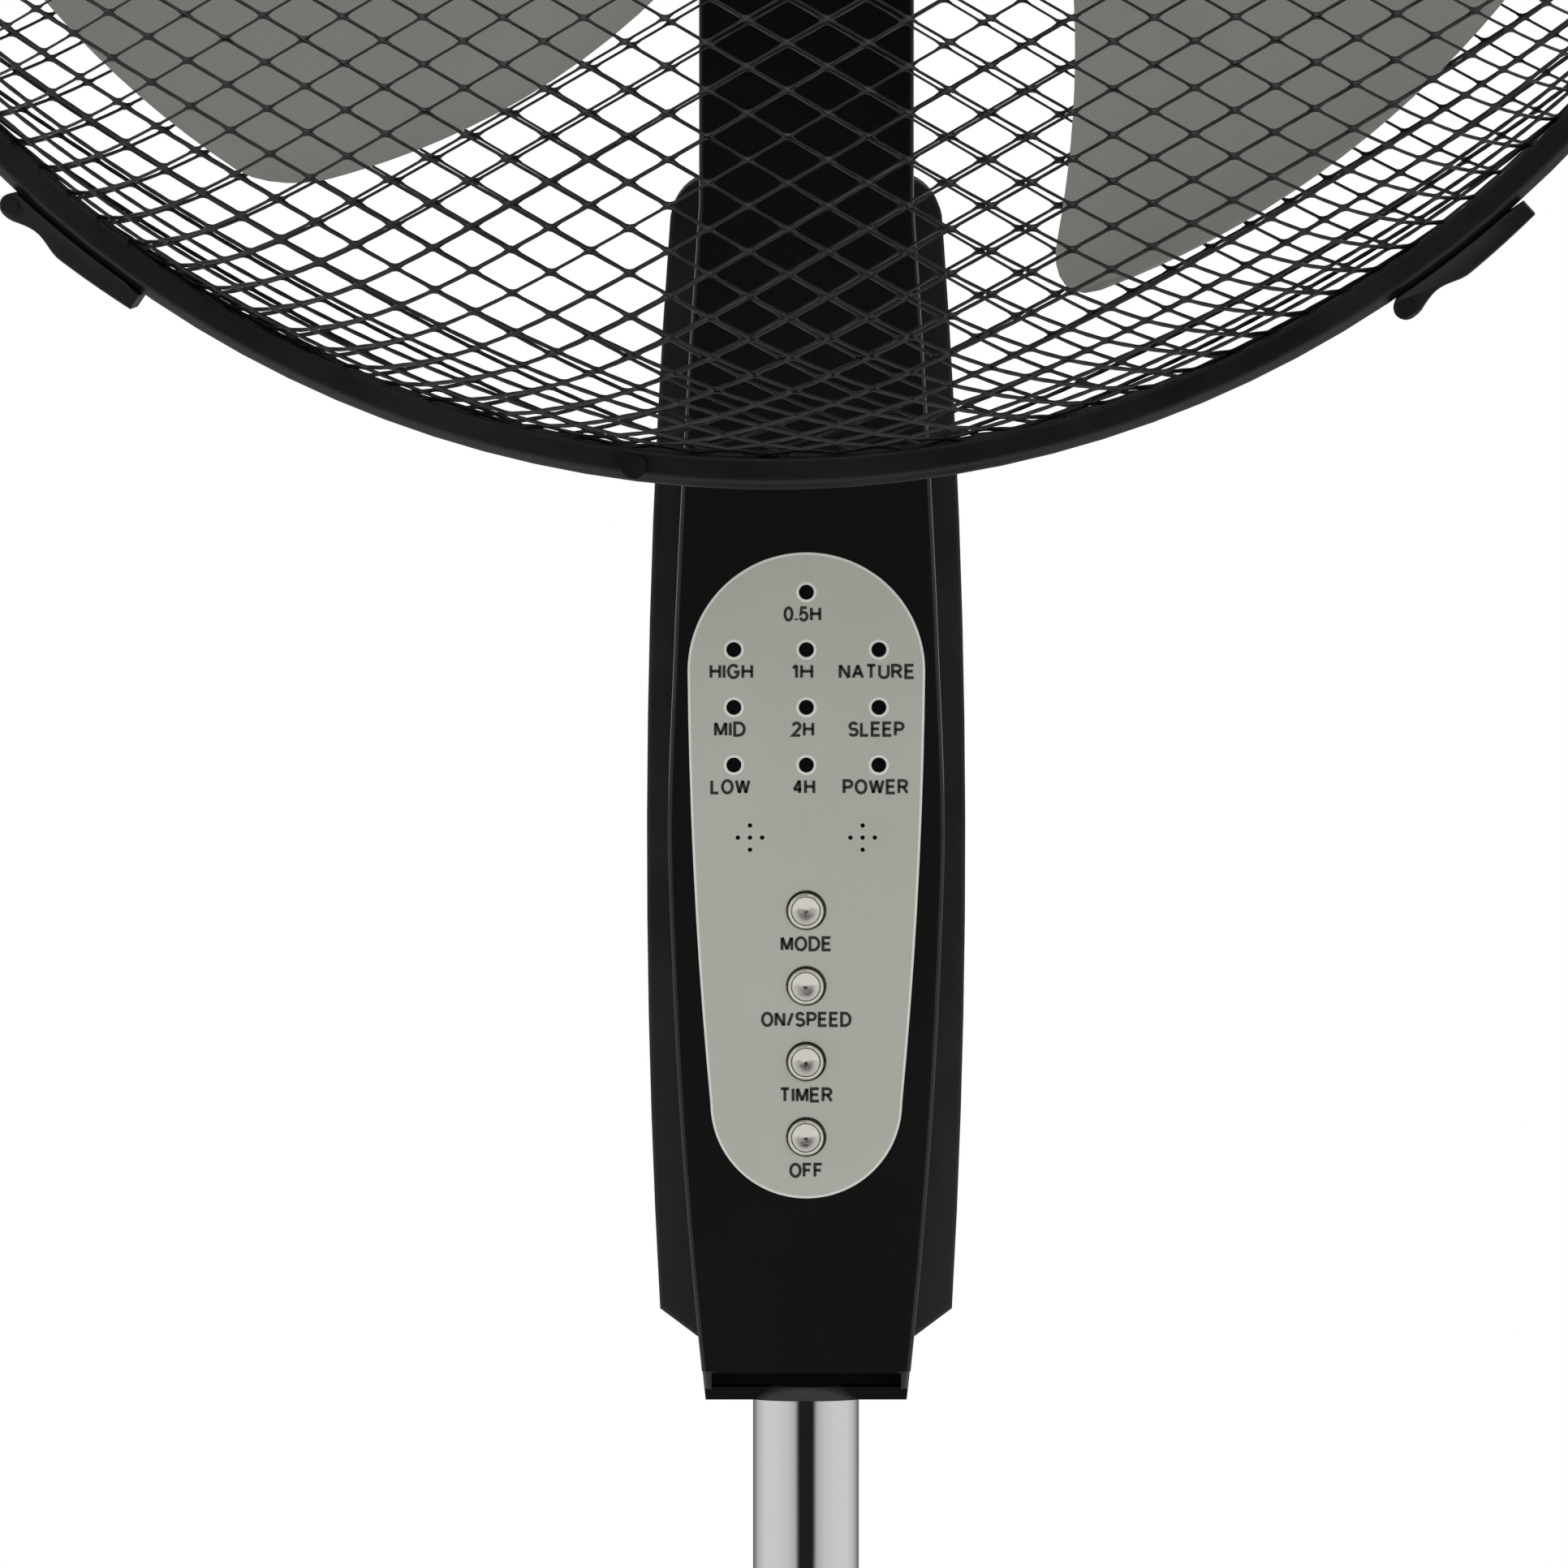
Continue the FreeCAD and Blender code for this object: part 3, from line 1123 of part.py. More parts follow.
def make_impeller():
    hub = turned_hub()
    columns, rows = 13, 15
    grid = [[blade_point(i / (columns - 1), j / (rows - 1)) for j in range(rows)] for i in range(columns)]
    surface = Part.BSplineSurface()
    surface.interpolate(grid)
    blade = surface.toShape().extrude(FreeCAD.Vector(0, -s.blade_thickness.value, 0))
    blades = []
    for index in range(BLADE_COUNT):
        turned_blade = blade.copy()
        turned_blade.rotate(FreeCAD.Vector(), FreeCAD.Vector(0, 1, 0), 360 / BLADE_COUNT * index)
        blades.append(turned_blade)
    impeller = doc.addObject("Part::Feature", "Impeller")
    impeller.Shape = hub.fuse(blades)
    in_head(keep(impeller, "impeller"))
    dome = -s.spinner_rear - s.hub_wall * 2
    diagonal = s.spinner_radius * math.sqrt(0.5)
    turned_on_shaft("spinner_nut", [
        (-s.spinner_rear, s.shaft_radius),
        (-s.spinner_rear, s.spinner_radius),
        (dome, s.spinner_radius),
        (dome - diagonal, diagonal, "via"),
        (dome - s.spinner_radius, 0),
        (-s.shaft_front - s.running_gap, 0),
        (-s.shaft_front - s.running_gap, s.shaft_radius),
    ])


def turned_hub():
    """The hub's cup, with the bore that fits the shaft."""
    wall = s.hub_wall.value
    outline = [
        (s.hub_front.value, s.hub_bore.value),
        (s.hub_front.value, s.hub_radius.value - wall),
        (s.hub_front.value - wall, s.hub_radius.value),
        (s.hub_rear.value, s.hub_radius.value),
        (s.hub_rear.value, s.hub_radius.value - wall),
        (s.hub_front.value - wall, s.hub_radius.value - wall),
        (s.hub_front.value - wall, s.hub_bore.value * 2.5),
        (s.hub_rear.value + wall, s.hub_bore.value * 2.5),
        (s.hub_rear.value + wall, s.hub_bore.value),
    ]
    wire = Part.makePolygon([FreeCAD.Vector(0, -along, radius) for along, radius in outline + outline[:1]])
    return Part.Face(wire).revolve(FreeCAD.Vector(), FreeCAD.Vector(0, 1, 0), 360)


# ---------------------------------------------------------------- checks and files

def check_model():
    """Stops on any failed object, empty or broken shape, or cut that removed nothing."""
    doc.recompute()
    for item in doc.Objects:
        if "Invalid" in item.State or "Error" in item.State:
            raise RuntimeError(f"{item.Name} failed: {item.State}")
    for feature in checked_cuts:
        if feature.Shape.Volume >= feature.BaseFeature.Shape.Volume - 1e-6:
            raise RuntimeError(f"{feature.Name} removes nothing")
    for item in pieces:
        if item.Shape.isNull() or not item.Shape.isValid() or not item.Shape.Solids:
            raise RuntimeError(f"{item.Label} has no valid solid")


def write_pieces():
    os.makedirs(OUT, exist_ok=True)
    for item in pieces:
        item.Shape.exportStep(f"{OUT}/{item.Label}.step")
    print(len(pieces), "pieces")


s = fill_sheet()
make_base()
make_poles()
make_shells()
make_panel()
make_box_fittings()
make_neck()
make_bracket()
make_motor()
make_motor_housing()
make_gearbox()
make_link()
make_guards()
make_clips()
make_impeller()
check_model()
write_pieces()
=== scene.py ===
import json
import math

import bmesh
import bpy
from mathutils import Matrix, Vector
from mathutils.bvhtree import BVHTree


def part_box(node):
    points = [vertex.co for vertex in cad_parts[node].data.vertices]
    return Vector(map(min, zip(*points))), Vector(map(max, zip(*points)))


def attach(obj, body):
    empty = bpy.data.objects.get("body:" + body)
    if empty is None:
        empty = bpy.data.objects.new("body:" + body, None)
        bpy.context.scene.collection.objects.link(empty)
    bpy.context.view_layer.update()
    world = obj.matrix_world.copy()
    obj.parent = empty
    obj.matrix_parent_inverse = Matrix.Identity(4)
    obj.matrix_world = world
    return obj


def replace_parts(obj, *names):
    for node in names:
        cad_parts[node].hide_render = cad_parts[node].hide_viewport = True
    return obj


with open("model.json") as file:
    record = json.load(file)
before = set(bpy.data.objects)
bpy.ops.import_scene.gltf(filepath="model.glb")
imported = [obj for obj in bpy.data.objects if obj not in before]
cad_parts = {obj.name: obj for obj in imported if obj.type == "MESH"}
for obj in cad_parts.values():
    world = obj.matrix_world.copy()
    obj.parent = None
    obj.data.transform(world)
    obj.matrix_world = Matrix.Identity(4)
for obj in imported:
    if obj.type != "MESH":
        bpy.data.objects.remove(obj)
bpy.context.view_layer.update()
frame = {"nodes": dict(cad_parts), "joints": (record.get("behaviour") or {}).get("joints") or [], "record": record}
MM = 0.001


# ---------------------------------------------------------------- where things are

def middle(node):
    low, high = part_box(node)
    return (low + high) / 2


def joint(name):
    return next(j for j in frame["joints"] if j["name"] == name)


forward = Vector(joint("fan_spin")["axis"]).normalized()
hub_level = middle("front_rim").z
HEAD = Matrix((
    (-forward.y, -forward.x, 0, 0),
    (forward.x, -forward.y, 0, 0),
    (0, 0, 1, hub_level),
    (0, 0, 0, 1),
))
TO_HEAD = HEAD.inverted()


def head_extent(node):
    """Front, rear (along the shaft) and largest radius of a node about the shaft."""
    points = [TO_HEAD @ v.co for v in frame["nodes"][node].data.vertices]
    return (min(p.y for p in points), max(p.y for p in points),
            max(math.hypot(p.x, p.z) for p in points))


# ---------------------------------------------------------------- materials

def new_node(tree, kind, **values):
    made = tree.nodes.new(kind)
    for key, value in values.items():
        setattr(made, key, value)
    return made


def noise(tree, coords, scale, detail=3.0, rough=0.5, stretch=None):
    if stretch:
        mapping = new_node(tree, "ShaderNodeMapping")
        mapping.inputs["Scale"].default_value = stretch
        tree.links.new(coords, mapping.inputs["Vector"])
        coords = mapping.outputs["Vector"]
    made = new_node(tree, "ShaderNodeTexNoise")
    made.inputs["Scale"].default_value = scale
    made.inputs["Detail"].default_value = detail
    made.inputs["Roughness"].default_value = rough
    tree.links.new(coords, made.inputs["Vector"])
    return made.outputs["Fac"]


def remap(tree, value, low, high, from_low=0.3, from_high=0.7):
    made = new_node(tree, "ShaderNodeMapRange")
    made.inputs["From Min"].default_value = from_low
    made.inputs["From Max"].default_value = from_high
    made.inputs["To Min"].default_value = low
    made.inputs["To Max"].default_value = high
    tree.links.new(value, made.inputs["Value"])
    return made.outputs["Result"]


def blend_colours(tree, factor, one, two):
    made = new_node(tree, "ShaderNodeMix", data_type="RGBA")
    tree.links.new(factor, made.inputs["Factor"])
    made.inputs["A"].default_value = (*one, 1)
    made.inputs["B"].default_value = (*two, 1)
    return made.outputs["Result"]


COAT_ROUGHNESS = 0.04
BEVEL_SAMPLES = 6


def surface(name, colour, roughness, metallic=0.0, level=0.5, coat=0.0, vary=0.12, rough_vary=0.3,
            patch_scale=25, grain_scale=900, grain=0.08, grain_depth=0.02, stretch=None, dust=0.0,
            soften=0.0):
    """A moulded, painted, cast or drawn surface: patchy colour, uneven gloss and a fine relief."""
    made = bpy.data.materials.new(name)
    made.use_nodes = True
    tree = made.node_tree
    shader = tree.nodes["Principled BSDF"]
    coords = new_node(tree, "ShaderNodeTexCoord").outputs["Object"]
    patches = noise(tree, coords, patch_scale, 4.0, 0.6, stretch)
    fine = noise(tree, coords, grain_scale, 2.0, 0.5, stretch)
    dark = [c * (1 - vary) for c in colour]
    light = [min(1.0, c * (1 + vary) + dust) for c in colour]
    tint = blend_colours(tree, remap(tree, patches, 0, 1), dark, light)
    tree.links.new(tint, shader.inputs["Base Color"])
    gloss = remap(tree, patches, roughness * (1 - rough_vary), min(1.0, roughness * (1 + rough_vary)))
    tree.links.new(gloss, shader.inputs["Roughness"])
    bump = new_node(tree, "ShaderNodeBump")
    bump.inputs["Strength"].default_value = grain
    bump.inputs["Distance"].default_value = grain_depth * MM
    tree.links.new(fine, bump.inputs["Height"])
    if soften:
        rounded = new_node(tree, "ShaderNodeBevel", samples=BEVEL_SAMPLES)
        rounded.inputs["Radius"].default_value = soften * MM
        tree.links.new(rounded.outputs["Normal"], bump.inputs["Normal"])
    tree.links.new(bump.outputs["Normal"], shader.inputs["Normal"])
    shader.inputs["Metallic"].default_value = metallic
    shader.inputs["Specular IOR Level"].default_value = level
    shader.inputs["Coat Weight"].default_value = coat
    shader.inputs["Coat Roughness"].default_value = COAT_ROUGHNESS
    return made


LOOKS = {
    "base_black": dict(colour=(0.010, 0.010, 0.011), roughness=0.16, coat=0.3, grain=0.25,
                       grain_scale=260),
    "steel_weight": dict(colour=(0.09, 0.09, 0.095), roughness=0.6, metallic=0.4, grain=0.7,
                         grain_scale=500, grain_depth=0.1),
    "foot_rubber": dict(colour=(0.02, 0.02, 0.02), roughness=0.85, level=0.25, grain=0.6,
                        grain_scale=1500),
    "screw_steel": dict(colour=(0.46, 0.46, 0.47), roughness=0.28, metallic=1.0, grain=0.3,
                        patch_scale=90),
    "pole_chrome": dict(colour=(0.84, 0.84, 0.85), roughness=0.06, metallic=1.0, vary=0.02, grain=0.12,
                        grain_scale=500, stretch=(1, 1, 0.05)),
    "screw_black": dict(colour=(0.02, 0.02, 0.021), roughness=0.3, metallic=0.6, grain=0.4),
    "socket_steel": dict(colour=(0.3, 0.3, 0.31), roughness=0.42, metallic=0.9, grain=0.4),
    "collar_plastic": dict(colour=(0.012, 0.012, 0.013), roughness=0.34, grain=0.5, grain_scale=1400),
    "bush_nylon": dict(colour=(0.6, 0.59, 0.55), roughness=0.5, level=0.4),
    "front_gloss": dict(colour=(0.0098, 0.0086, 0.0083), roughness=0.07, level=0.4, vary=0.12,
                        rough_vary=0.25, grain=0.05, grain_scale=120, grain_depth=0.03, patch_scale=12),
    "rear_satin": dict(colour=(0.0175, 0.0175, 0.0180), roughness=0.36, level=0.5, grain=0.35,
                       grain_scale=1600, soften=1.2),
    "panel_silver": dict(colour=(0.494, 0.512, 0.448), roughness=0.42, metallic=0.12, vary=0.02,
                         grain=0.18, grain_scale=2600, grain_depth=0.01, rough_vary=0.12, soften=0.25),
    "board_green": dict(colour=(0.02, 0.16, 0.05), roughness=0.35, grain=0.4, grain_scale=700),
    "led_dark": dict(colour=(0.004, 0.004, 0.005), roughness=0.12, coat=0.5, grain=0.02),
    "switch_black": dict(colour=(0.016, 0.016, 0.017), roughness=0.45, grain=0.4),
    "button_chrome": dict(colour=(0.80, 0.77, 0.71), roughness=0.2, metallic=1.0, vary=0.05, grain=0.7,
                          grain_scale=480, grain_depth=0.12),
    "neck_alloy": dict(colour=(0.02, 0.02, 0.021), roughness=0.4, grain=0.6, grain_scale=800),
    "motor_alloy": dict(colour=(0.5, 0.5, 0.51), roughness=0.45, metallic=1.0, grain=0.7,
                        grain_scale=900, grain_depth=0.06),
    "stator_steel": dict(colour=(0.22, 0.22, 0.23), roughness=0.5, metallic=0.9, grain=0.8,
                         grain_scale=1500, stretch=(0.05, 4, 0.05)),
    "copper": dict(colour=(0.72, 0.3, 0.13), roughness=0.3, metallic=1.0, grain=0.8, grain_scale=1200),
    "bronze": dict(colour=(0.5, 0.33, 0.14), roughness=0.4, metallic=1.0, grain=0.4),
    "capacitor_white": dict(colour=(0.75, 0.74, 0.7), roughness=0.4, grain=0.1),
    "gear_nylon": dict(colour=(0.78, 0.76, 0.7), roughness=0.45, grain=0.2),
    "guard_black": dict(colour=(0.0075, 0.0075, 0.008), roughness=0.3, level=0.5, grain=0.5,
                        grain_scale=700, grain_depth=0.05),
    "rim_black": dict(colour=(0.0075, 0.007, 0.0075), roughness=0.3, level=0.45, grain=0.35,
                      grain_scale=420, grain_depth=0.05, soften=1.2),
    "clip_black": dict(colour=(0.009, 0.009, 0.010), roughness=0.34, grain=0.4, grain_scale=900),
    "blade_silver": dict(colour=(0.272, 0.268, 0.248), roughness=0.36, metallic=0.25, vary=0.04,
                         grain=0.2, grain_scale=2200, rough_vary=0.15),
    "nut_plastic": dict(colour=(0.012, 0.012, 0.013), roughness=0.35, grain=0.4, grain_scale=1200),
    "badge_silver": dict(colour=(0.42, 0.42, 0.41), roughness=0.32, metallic=0.6, grain=0.5,
                         grain_scale=1500, stretch=(1, 1, 0.04)),
}
FINISH = {name: surface(name, **look) for name, look in LOOKS.items()}
# painted light: the box lip gets a grey far lighter than the black shell, standing in for the light it catches
# below the overhang
lip_painted_light = surface("lip_painted_light", (0.085, 0.084, 0.083), 0.42, grain=0.3, grain_scale=1400)
# painted light: the boss gets a lit copy of the collar plastic's black, twice as light, so it shows under the box
boss_painted_light = surface("boss_painted_light", (0.024, 0.024, 0.025), 0.4, grain=0.4, grain_scale=1400)
legend_ink = surface("legend_ink", (0.018, 0.018, 0.018), 0.6, grain=0.5, grain_scale=3000)
# pale paint of the lamp rings; on the strip around the panel the same paint is a painted highlight of its eased
# edge
lamp_ring_and_edge_highlight_paint = surface("lamp_ring_and_edge_highlight_paint", (0.74, 0.75, 0.70), 0.38, vary=0.03, grain=0.1)

for part in frame["record"]["subparts"]:
    shown = frame["nodes"][part["node"]]
    shown.data.materials.clear()
    shown.data.materials.append(FINISH[part["material_slot"]])


# ---------------------------------------------------------------- building meshes

def build(name, points, faces, body, slot, paint=None, smooth=True, matrix=None, angle=40):
    mesh = bpy.data.meshes.new(name)
    if matrix:
        points = [matrix @ Vector(p) for p in points]
    mesh.from_pydata([tuple(p) for p in points], [], faces)
    mesh.validate()
    work = bmesh.new()
    work.from_mesh(mesh)
    bmesh.ops.remove_doubles(work, verts=work.verts, dist=1e-6)
    bmesh.ops.dissolve_degenerate(work, edges=work.edges, dist=1e-6)
    bmesh.ops.recalc_face_normals(work, faces=work.faces)
    work.to_mesh(mesh)
    work.free()
    made = bpy.data.objects.new(name, mesh)
    bpy.context.scene.collection.objects.link(made)
    if smooth:
        mesh.shade_smooth()
        mesh.set_sharp_from_angle(angle=math.radians(angle))
    made.data.materials.append(paint or FINISH[slot])
    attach(made, body)
    return made


def add_mesh(points, faces, more_points, more_faces):
    """Adds one mesh to another, renumbering its faces."""
    faces += [tuple(i + len(points) for i in f) for f in more_faces]
    points += more_points


def ring_walls(first, rings, count):
    """Quads between each ring of count points and the next, from point number first on."""
    walls = []
    for a in range(first, first + (rings - 1) * count, count):
        b = a + count
        for k in range(count):
            n = (k + 1) % count
            walls.append((a + k, a + n, b + n, b + k))
    return walls


def lathe(profile, steps, closed=True):
    """Points and faces of a profile (radius, along) turned about the along axis (Z)."""
    points, faces = [], []
    for k in range(steps):
        turn = 2 * math.pi * k / steps
        for radius, along in profile:
            points.append((radius * math.cos(turn), radius * math.sin(turn), along))
    count = len(profile)
    for k in range(steps):
        n = (k + 1) % steps
        for i in range(count if closed else count - 1):
            j = (i + 1) % count
            faces.append((k * count + i, k * count + j, n * count + j, n * count + i))
    return points, faces


def curve_through(knots, steps):
    """Catmull-Rom points through 2-D knots."""
    line = []
    for i in range(len(knots) - 1):
        a = knots[max(i - 1, 0)]
        b, c = knots[i], knots[i + 1]
        d = knots[min(i + 2, len(knots) - 1)]
        for k in range(steps):
            t = k / steps
            line.append(tuple(0.5 * (2 * q + (r - p) * t + (2 * p - 5 * q + 4 * r - w) * t * t
                                     + (3 * q - p - 3 * r + w) * t ** 3)
                              for p, q, r, w in zip(a, b, c, d)))
    line.append(tuple(knots[-1]))
    return line


# ---------------------------------------------------------------- expanded mesh guards

MESH_LONG, MESH_SHORT = 15.4 * MM, 9.05 * MM
STRAND, SHEET, BOND, ROUNDING = 0.47 * MM, 0.55 * MM, 1.8 * MM, 1.5 * MM
STRAND_LEAN, STRAND_EASE = 0.22 * MM, 0.12 * MM
LEAN_REACH = MESH_SHORT * 0.2
OUTER_OVERHANG, INNER_OVERHANG = MESH_SHORT * 0.45, MESH_SHORT * 0.3
BOWL_STEPS = 24
TINY = 1e-9


class Bowl:
    """A drawn bowl: a flat sheet's radius becomes (radius, place along the shaft) by arc length."""

    def __init__(self, knots):
        self.line = curve_through(knots, BOWL_STEPS)
        self.length = [0.0]
        for a, b in zip(self.line, self.line[1:]):
            self.length.append(self.length[-1] + math.dist(a, b))
        self.length = [x + self.line[0][0] for x in self.length]

    def place(self, across, up, lift):
        flat = max(math.hypot(across, up), TINY)
        if flat <= self.length[0]:
            radius, y, slope = flat, self.line[0][1], (1, 0)
        else:
            low, high = 0, len(self.length) - 1
            while high - low > 1:
                half = (low + high) // 2
                low, high = (half, high) if self.length[half] <= flat else (low, half)
            a, b = self.line[low], self.line[high]
            share = min(1.0, (flat - self.length[low]) / (self.length[high] - self.length[low]))
            radius = a[0] + (b[0] - a[0]) * share
            y = a[1] + (b[1] - a[1]) * share
            norm = math.dist(a, b)
            slope = ((b[0] - a[0]) / norm, (b[1] - a[1]) / norm)
        radius -= slope[1] * lift
        y += slope[0] * lift
        return (radius * across / flat, y, radius * up / flat)


def opening_loop():
    """The loop of a rhombus tile centred on an opening, and the opening's own loop inside it."""
    half_long, half_short = MESH_LONG / 2, MESH_SHORT / 2
    inset = STRAND / 2 * math.hypot(1 / half_long, 1 / half_short)
    round_start = ROUNDING * math.sin(math.atan2(half_short, half_long))
    shares = (0.76, 0.45, round_start / half_long)
    quarter = [((1.0, 0.0), (half_long - BOND / 2, 0.0))]
    for share in shares:
        quarter.append(((share, 1 - share), (half_long * share, half_short * (1 - inset - share))))
    top = quarter[-1][1][1] + ROUNDING * 0.1
    quarter.append(((0.0, 1.0), (0.0, top)))
    onward, backward = quarter[:-1], quarter[:0:-1]
    quarters = ((1, 1, onward), (-1, 1, backward), (-1, -1, onward), (1, -1, backward))
    outer, inner = [], []
    for sx, sz, steps in quarters:
        for (fx, fz), (x, z) in steps:
            outer.append((sx * half_long * fx, sz * half_short * fz))
            inner.append((sx * x, sz * z))
    return outer, inner


def mesh_guard(name, node, bowl, inner_radius, shift, facing):
    """Expanded metal drawn into a bowl. facing is -1 for a sheet whose front is towards the viewer."""
    outer, inner = opening_loop()
    layers = ((outer, SHEET / 2, 0), (inner, SHEET / 2 - STRAND_EASE, 1),
              (inner, STRAND_EASE - SHEET / 2, 1), (outer, -SHEET / 2, 0))
    limit = bowl.length[-1]
    points, faces = [], []
    columns = int(limit / MESH_LONG) + 2
    rows = int(2 * limit / MESH_SHORT) + 2
    for row in range(-rows, rows + 1):
        for column in range(-columns, columns + 1):
            cx = (column + (row % 2) / 2) * MESH_LONG + shift[0]
            cz = row * MESH_SHORT / 2 + shift[1]
            reach = math.hypot(cx, cz)
            if reach > limit + OUTER_OVERHANG or reach < inner_radius - INNER_OVERHANG:
                continue
            first = len(points)
            for loop, lift, lean in layers:
                for x, z in loop:
                    across, up = cx + x, cz + z
                    flat = math.hypot(across, up)
                    keep = min(max(flat, inner_radius), limit) / max(flat, TINY)
                    slope = -lean * STRAND_LEAN * (1 if z < 0 else -1) * min(1, abs(z) / LEAN_REACH)
                    points.append(bowl.place(across * keep, up * keep, facing * (lift + slope)))
            faces += ring_walls(first, len(layers), len(outer))
    made = build(name, points, faces, "head", "guard_black", matrix=HEAD, angle=50)
    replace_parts(made, node)
    return made


front_nose, front_edge, guard_radius = head_extent("front_guard")
rear_edge, rear_seat, _ = head_extent("rear_guard")
FRONT_MIDDLE = head_extent("guard_badge")[2] * 0.9
NUT_RADIUS = head_extent("guard_nut")[2]
REAR_MIDDLE, REAR_HOLE = NUT_RADIUS * 0.9, NUT_RADIUS * 0.85
BOWL_RADII = (0.45, 0.67, 0.84, 0.925, 0.975)
FRONT_DROPS = (0.045, 0.125, 0.28, 0.48, 0.76)
REAR_DROPS = (0.06, 0.14, 0.3, 0.5, 0.78)
RIM_SHARE = 0.998
FRONT_SHIFT = (-0.6 * MM, -1.05 * MM)
REAR_SHIFT = (0.9 * MM, 1.1 * MM)


def guard_bowl(middle_radius, seat, edge, facing, drops):
    """A bowl from its flat middle, at seat, to its rim, at edge; drops are shares of the depth between."""
    depth = abs(edge - seat)
    knots = [(middle_radius, seat - facing * SHEET)]
    for radius, drop in zip(BOWL_RADII, drops):
        knots.append((guard_radius * radius, seat - facing * depth * drop))
    knots.append((guard_radius * RIM_SHARE, edge))
    return Bowl(knots)


front_bowl = guard_bowl(FRONT_MIDDLE, front_nose, front_edge, -1, FRONT_DROPS)
rear_bowl = guard_bowl(REAR_MIDDLE, rear_seat, rear_edge, 1, REAR_DROPS)
mesh_guard("front_mesh", "front_guard", front_bowl, FRONT_MIDDLE, FRONT_SHIFT, -1)
mesh_guard("rear_mesh", "rear_guard", rear_bowl, REAR_HOLE, REAR_SHIFT, 1)


# ---------------------------------------------------------------- blades

HUB_RADIUS, HUB_LIMIT = 32 * MM, 33 * MM
BLADES_FROM = HUB_RADIUS * 3
BLADE = 1.8 * MM
TIP_LEAD, TIP_TRAIL = 188.2 * MM, 183.4 * MM
LEAD_ANGLE, LEAD_SWEEP = 16.0, 178.0
TRAIL_ANGLE, TRAIL_SWEEP = 89.0, 345.0
LEAD_CORNER, TRAIL_CORNER = 12 * MM, 8 * MM
CAMBER, BELLY = 0.25, 0.12
ROOT_SINK = 2 * MM
TIP_CROWDING = 1.7
EDGE_EASE = 0.3
BLADE_COUNT = 3

impeller_points = [TO_HEAD @ v.co for v in frame["nodes"]["impeller"].data.vertices]
hub_points = [p for p in impeller_points if math.hypot(p.x, p.z) < HUB_LIMIT]
hub_front, hub_rear = min(p.y for p in hub_points), max(p.y for p in hub_points)
blade_points = [p for p in impeller_points if math.hypot(p.x, p.z) > BLADES_FROM]
blade_front = min(p.y for p in blade_points) + BLADE
blade_rear = max(p.y for p in blade_points)


def corner_cut(from_tip, rounding):
    """How far a rounded corner pulls an edge in, at a distance from the tip."""
    reach = max(0.0, (rounding - from_tip) / rounding)
    return rounding * (1 - math.sqrt(max(0.0, 1 - reach * reach)))


def blade_spot(across, outward, turn):
    """A point of the blade's rear face: across from leading to trailing edge, outward from root to tip."""
    root = HUB_RADIUS - ROOT_SINK
    tip = TIP_LEAD + (TIP_TRAIL - TIP_LEAD) * across
    radius = tip - (tip - root) * (1 - outward) ** TIP_CROWDING
    lead = LEAD_ANGLE + LEAD_SWEEP * (TIP_LEAD - radius)
    trail = TRAIL_ANGLE + TRAIL_SWEEP * (TIP_TRAIL - radius)
    lead += math.degrees(corner_cut(tip - radius, LEAD_CORNER) / radius)
    trail -= math.degrees(corner_cut(tip - radius, TRAIL_CORNER) / radius)
    angle = math.radians(lead + (trail - lead) * across + turn)
    share = across * (1 - CAMBER * across) / (1 - CAMBER) - BELLY * math.sin(math.pi * across)
    return Vector((radius * math.sin(angle), blade_rear + (blade_front - blade_rear) * share,
                   -radius * math.cos(angle)))


def blade_mesh(turn, columns=36, rows=30):
    """One blade as a closed sheet whose edges are eased to half its thickness."""
    points, faces = [], []
    for layer in (0, 1):
        for i in range(columns + 1):
            for j in range(rows + 1):
                spot = blade_spot(i / columns, j / rows, turn)
                rim = i in (0, columns) or j == rows
                lift = BLADE * (EDGE_EASE if rim else 0.0)
                spot.y -= lift if layer == 0 else BLADE - lift
                points.append(spot)
    size = (columns + 1) * (rows + 1)
    for layer in (0, size):
        for i in range(columns):
            for j in range(rows):
                a = layer + i * (rows + 1) + j
                faces.append((a, a + 1, a + rows + 2, a + rows + 1))
    border = [i * (rows + 1) for i in range(columns + 1)]
    border += [columns * (rows + 1) + j for j in range(1, rows + 1)]
    border += [i * (rows + 1) + rows for i in range(columns - 1, -1, -1)]
    border += [j for j in range(rows - 1, 0, -1)]
    for k, a in enumerate(border):
        b = border[(k + 1) % len(border)]
        faces.append((a, b, b + size, a + size))
    return points, faces


HUB_WALL, HUB_BORE, HUB_BOSS = 3 * MM, 4 * MM, 10 * MM
hub_profile = [
    (HUB_BORE, hub_front), (HUB_RADIUS - HUB_WALL, hub_front),
    (HUB_RADIUS - HUB_WALL * 0.3, hub_front + HUB_WALL * 0.3), (HUB_RADIUS, hub_front + HUB_WALL),
    (HUB_RADIUS, hub_rear), (HUB_RADIUS - HUB_WALL, hub_rear), (HUB_RADIUS - HUB_WALL, hub_front + HUB_WALL),
    (HUB_BOSS, hub_front + HUB_WALL), (HUB_BOSS, hub_rear - HUB_WALL), (HUB_BORE, hub_rear - HUB_WALL),
]
points, faces = lathe(hub_profile, 96)
points = [(y, along, -x) for x, y, along in points]
for number in range(BLADE_COUNT):
    add_mesh(points, faces, *blade_mesh(360 // BLADE_COUNT * number))
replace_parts(build("blades", points, faces, "impeller", "blade_silver", matrix=HEAD, angle=45), "impeller")


# ---------------------------------------------------------------- legends and lamp rings

LAMP_FACE, LAMP_REACH = 0.1 * MM, 4 * MM


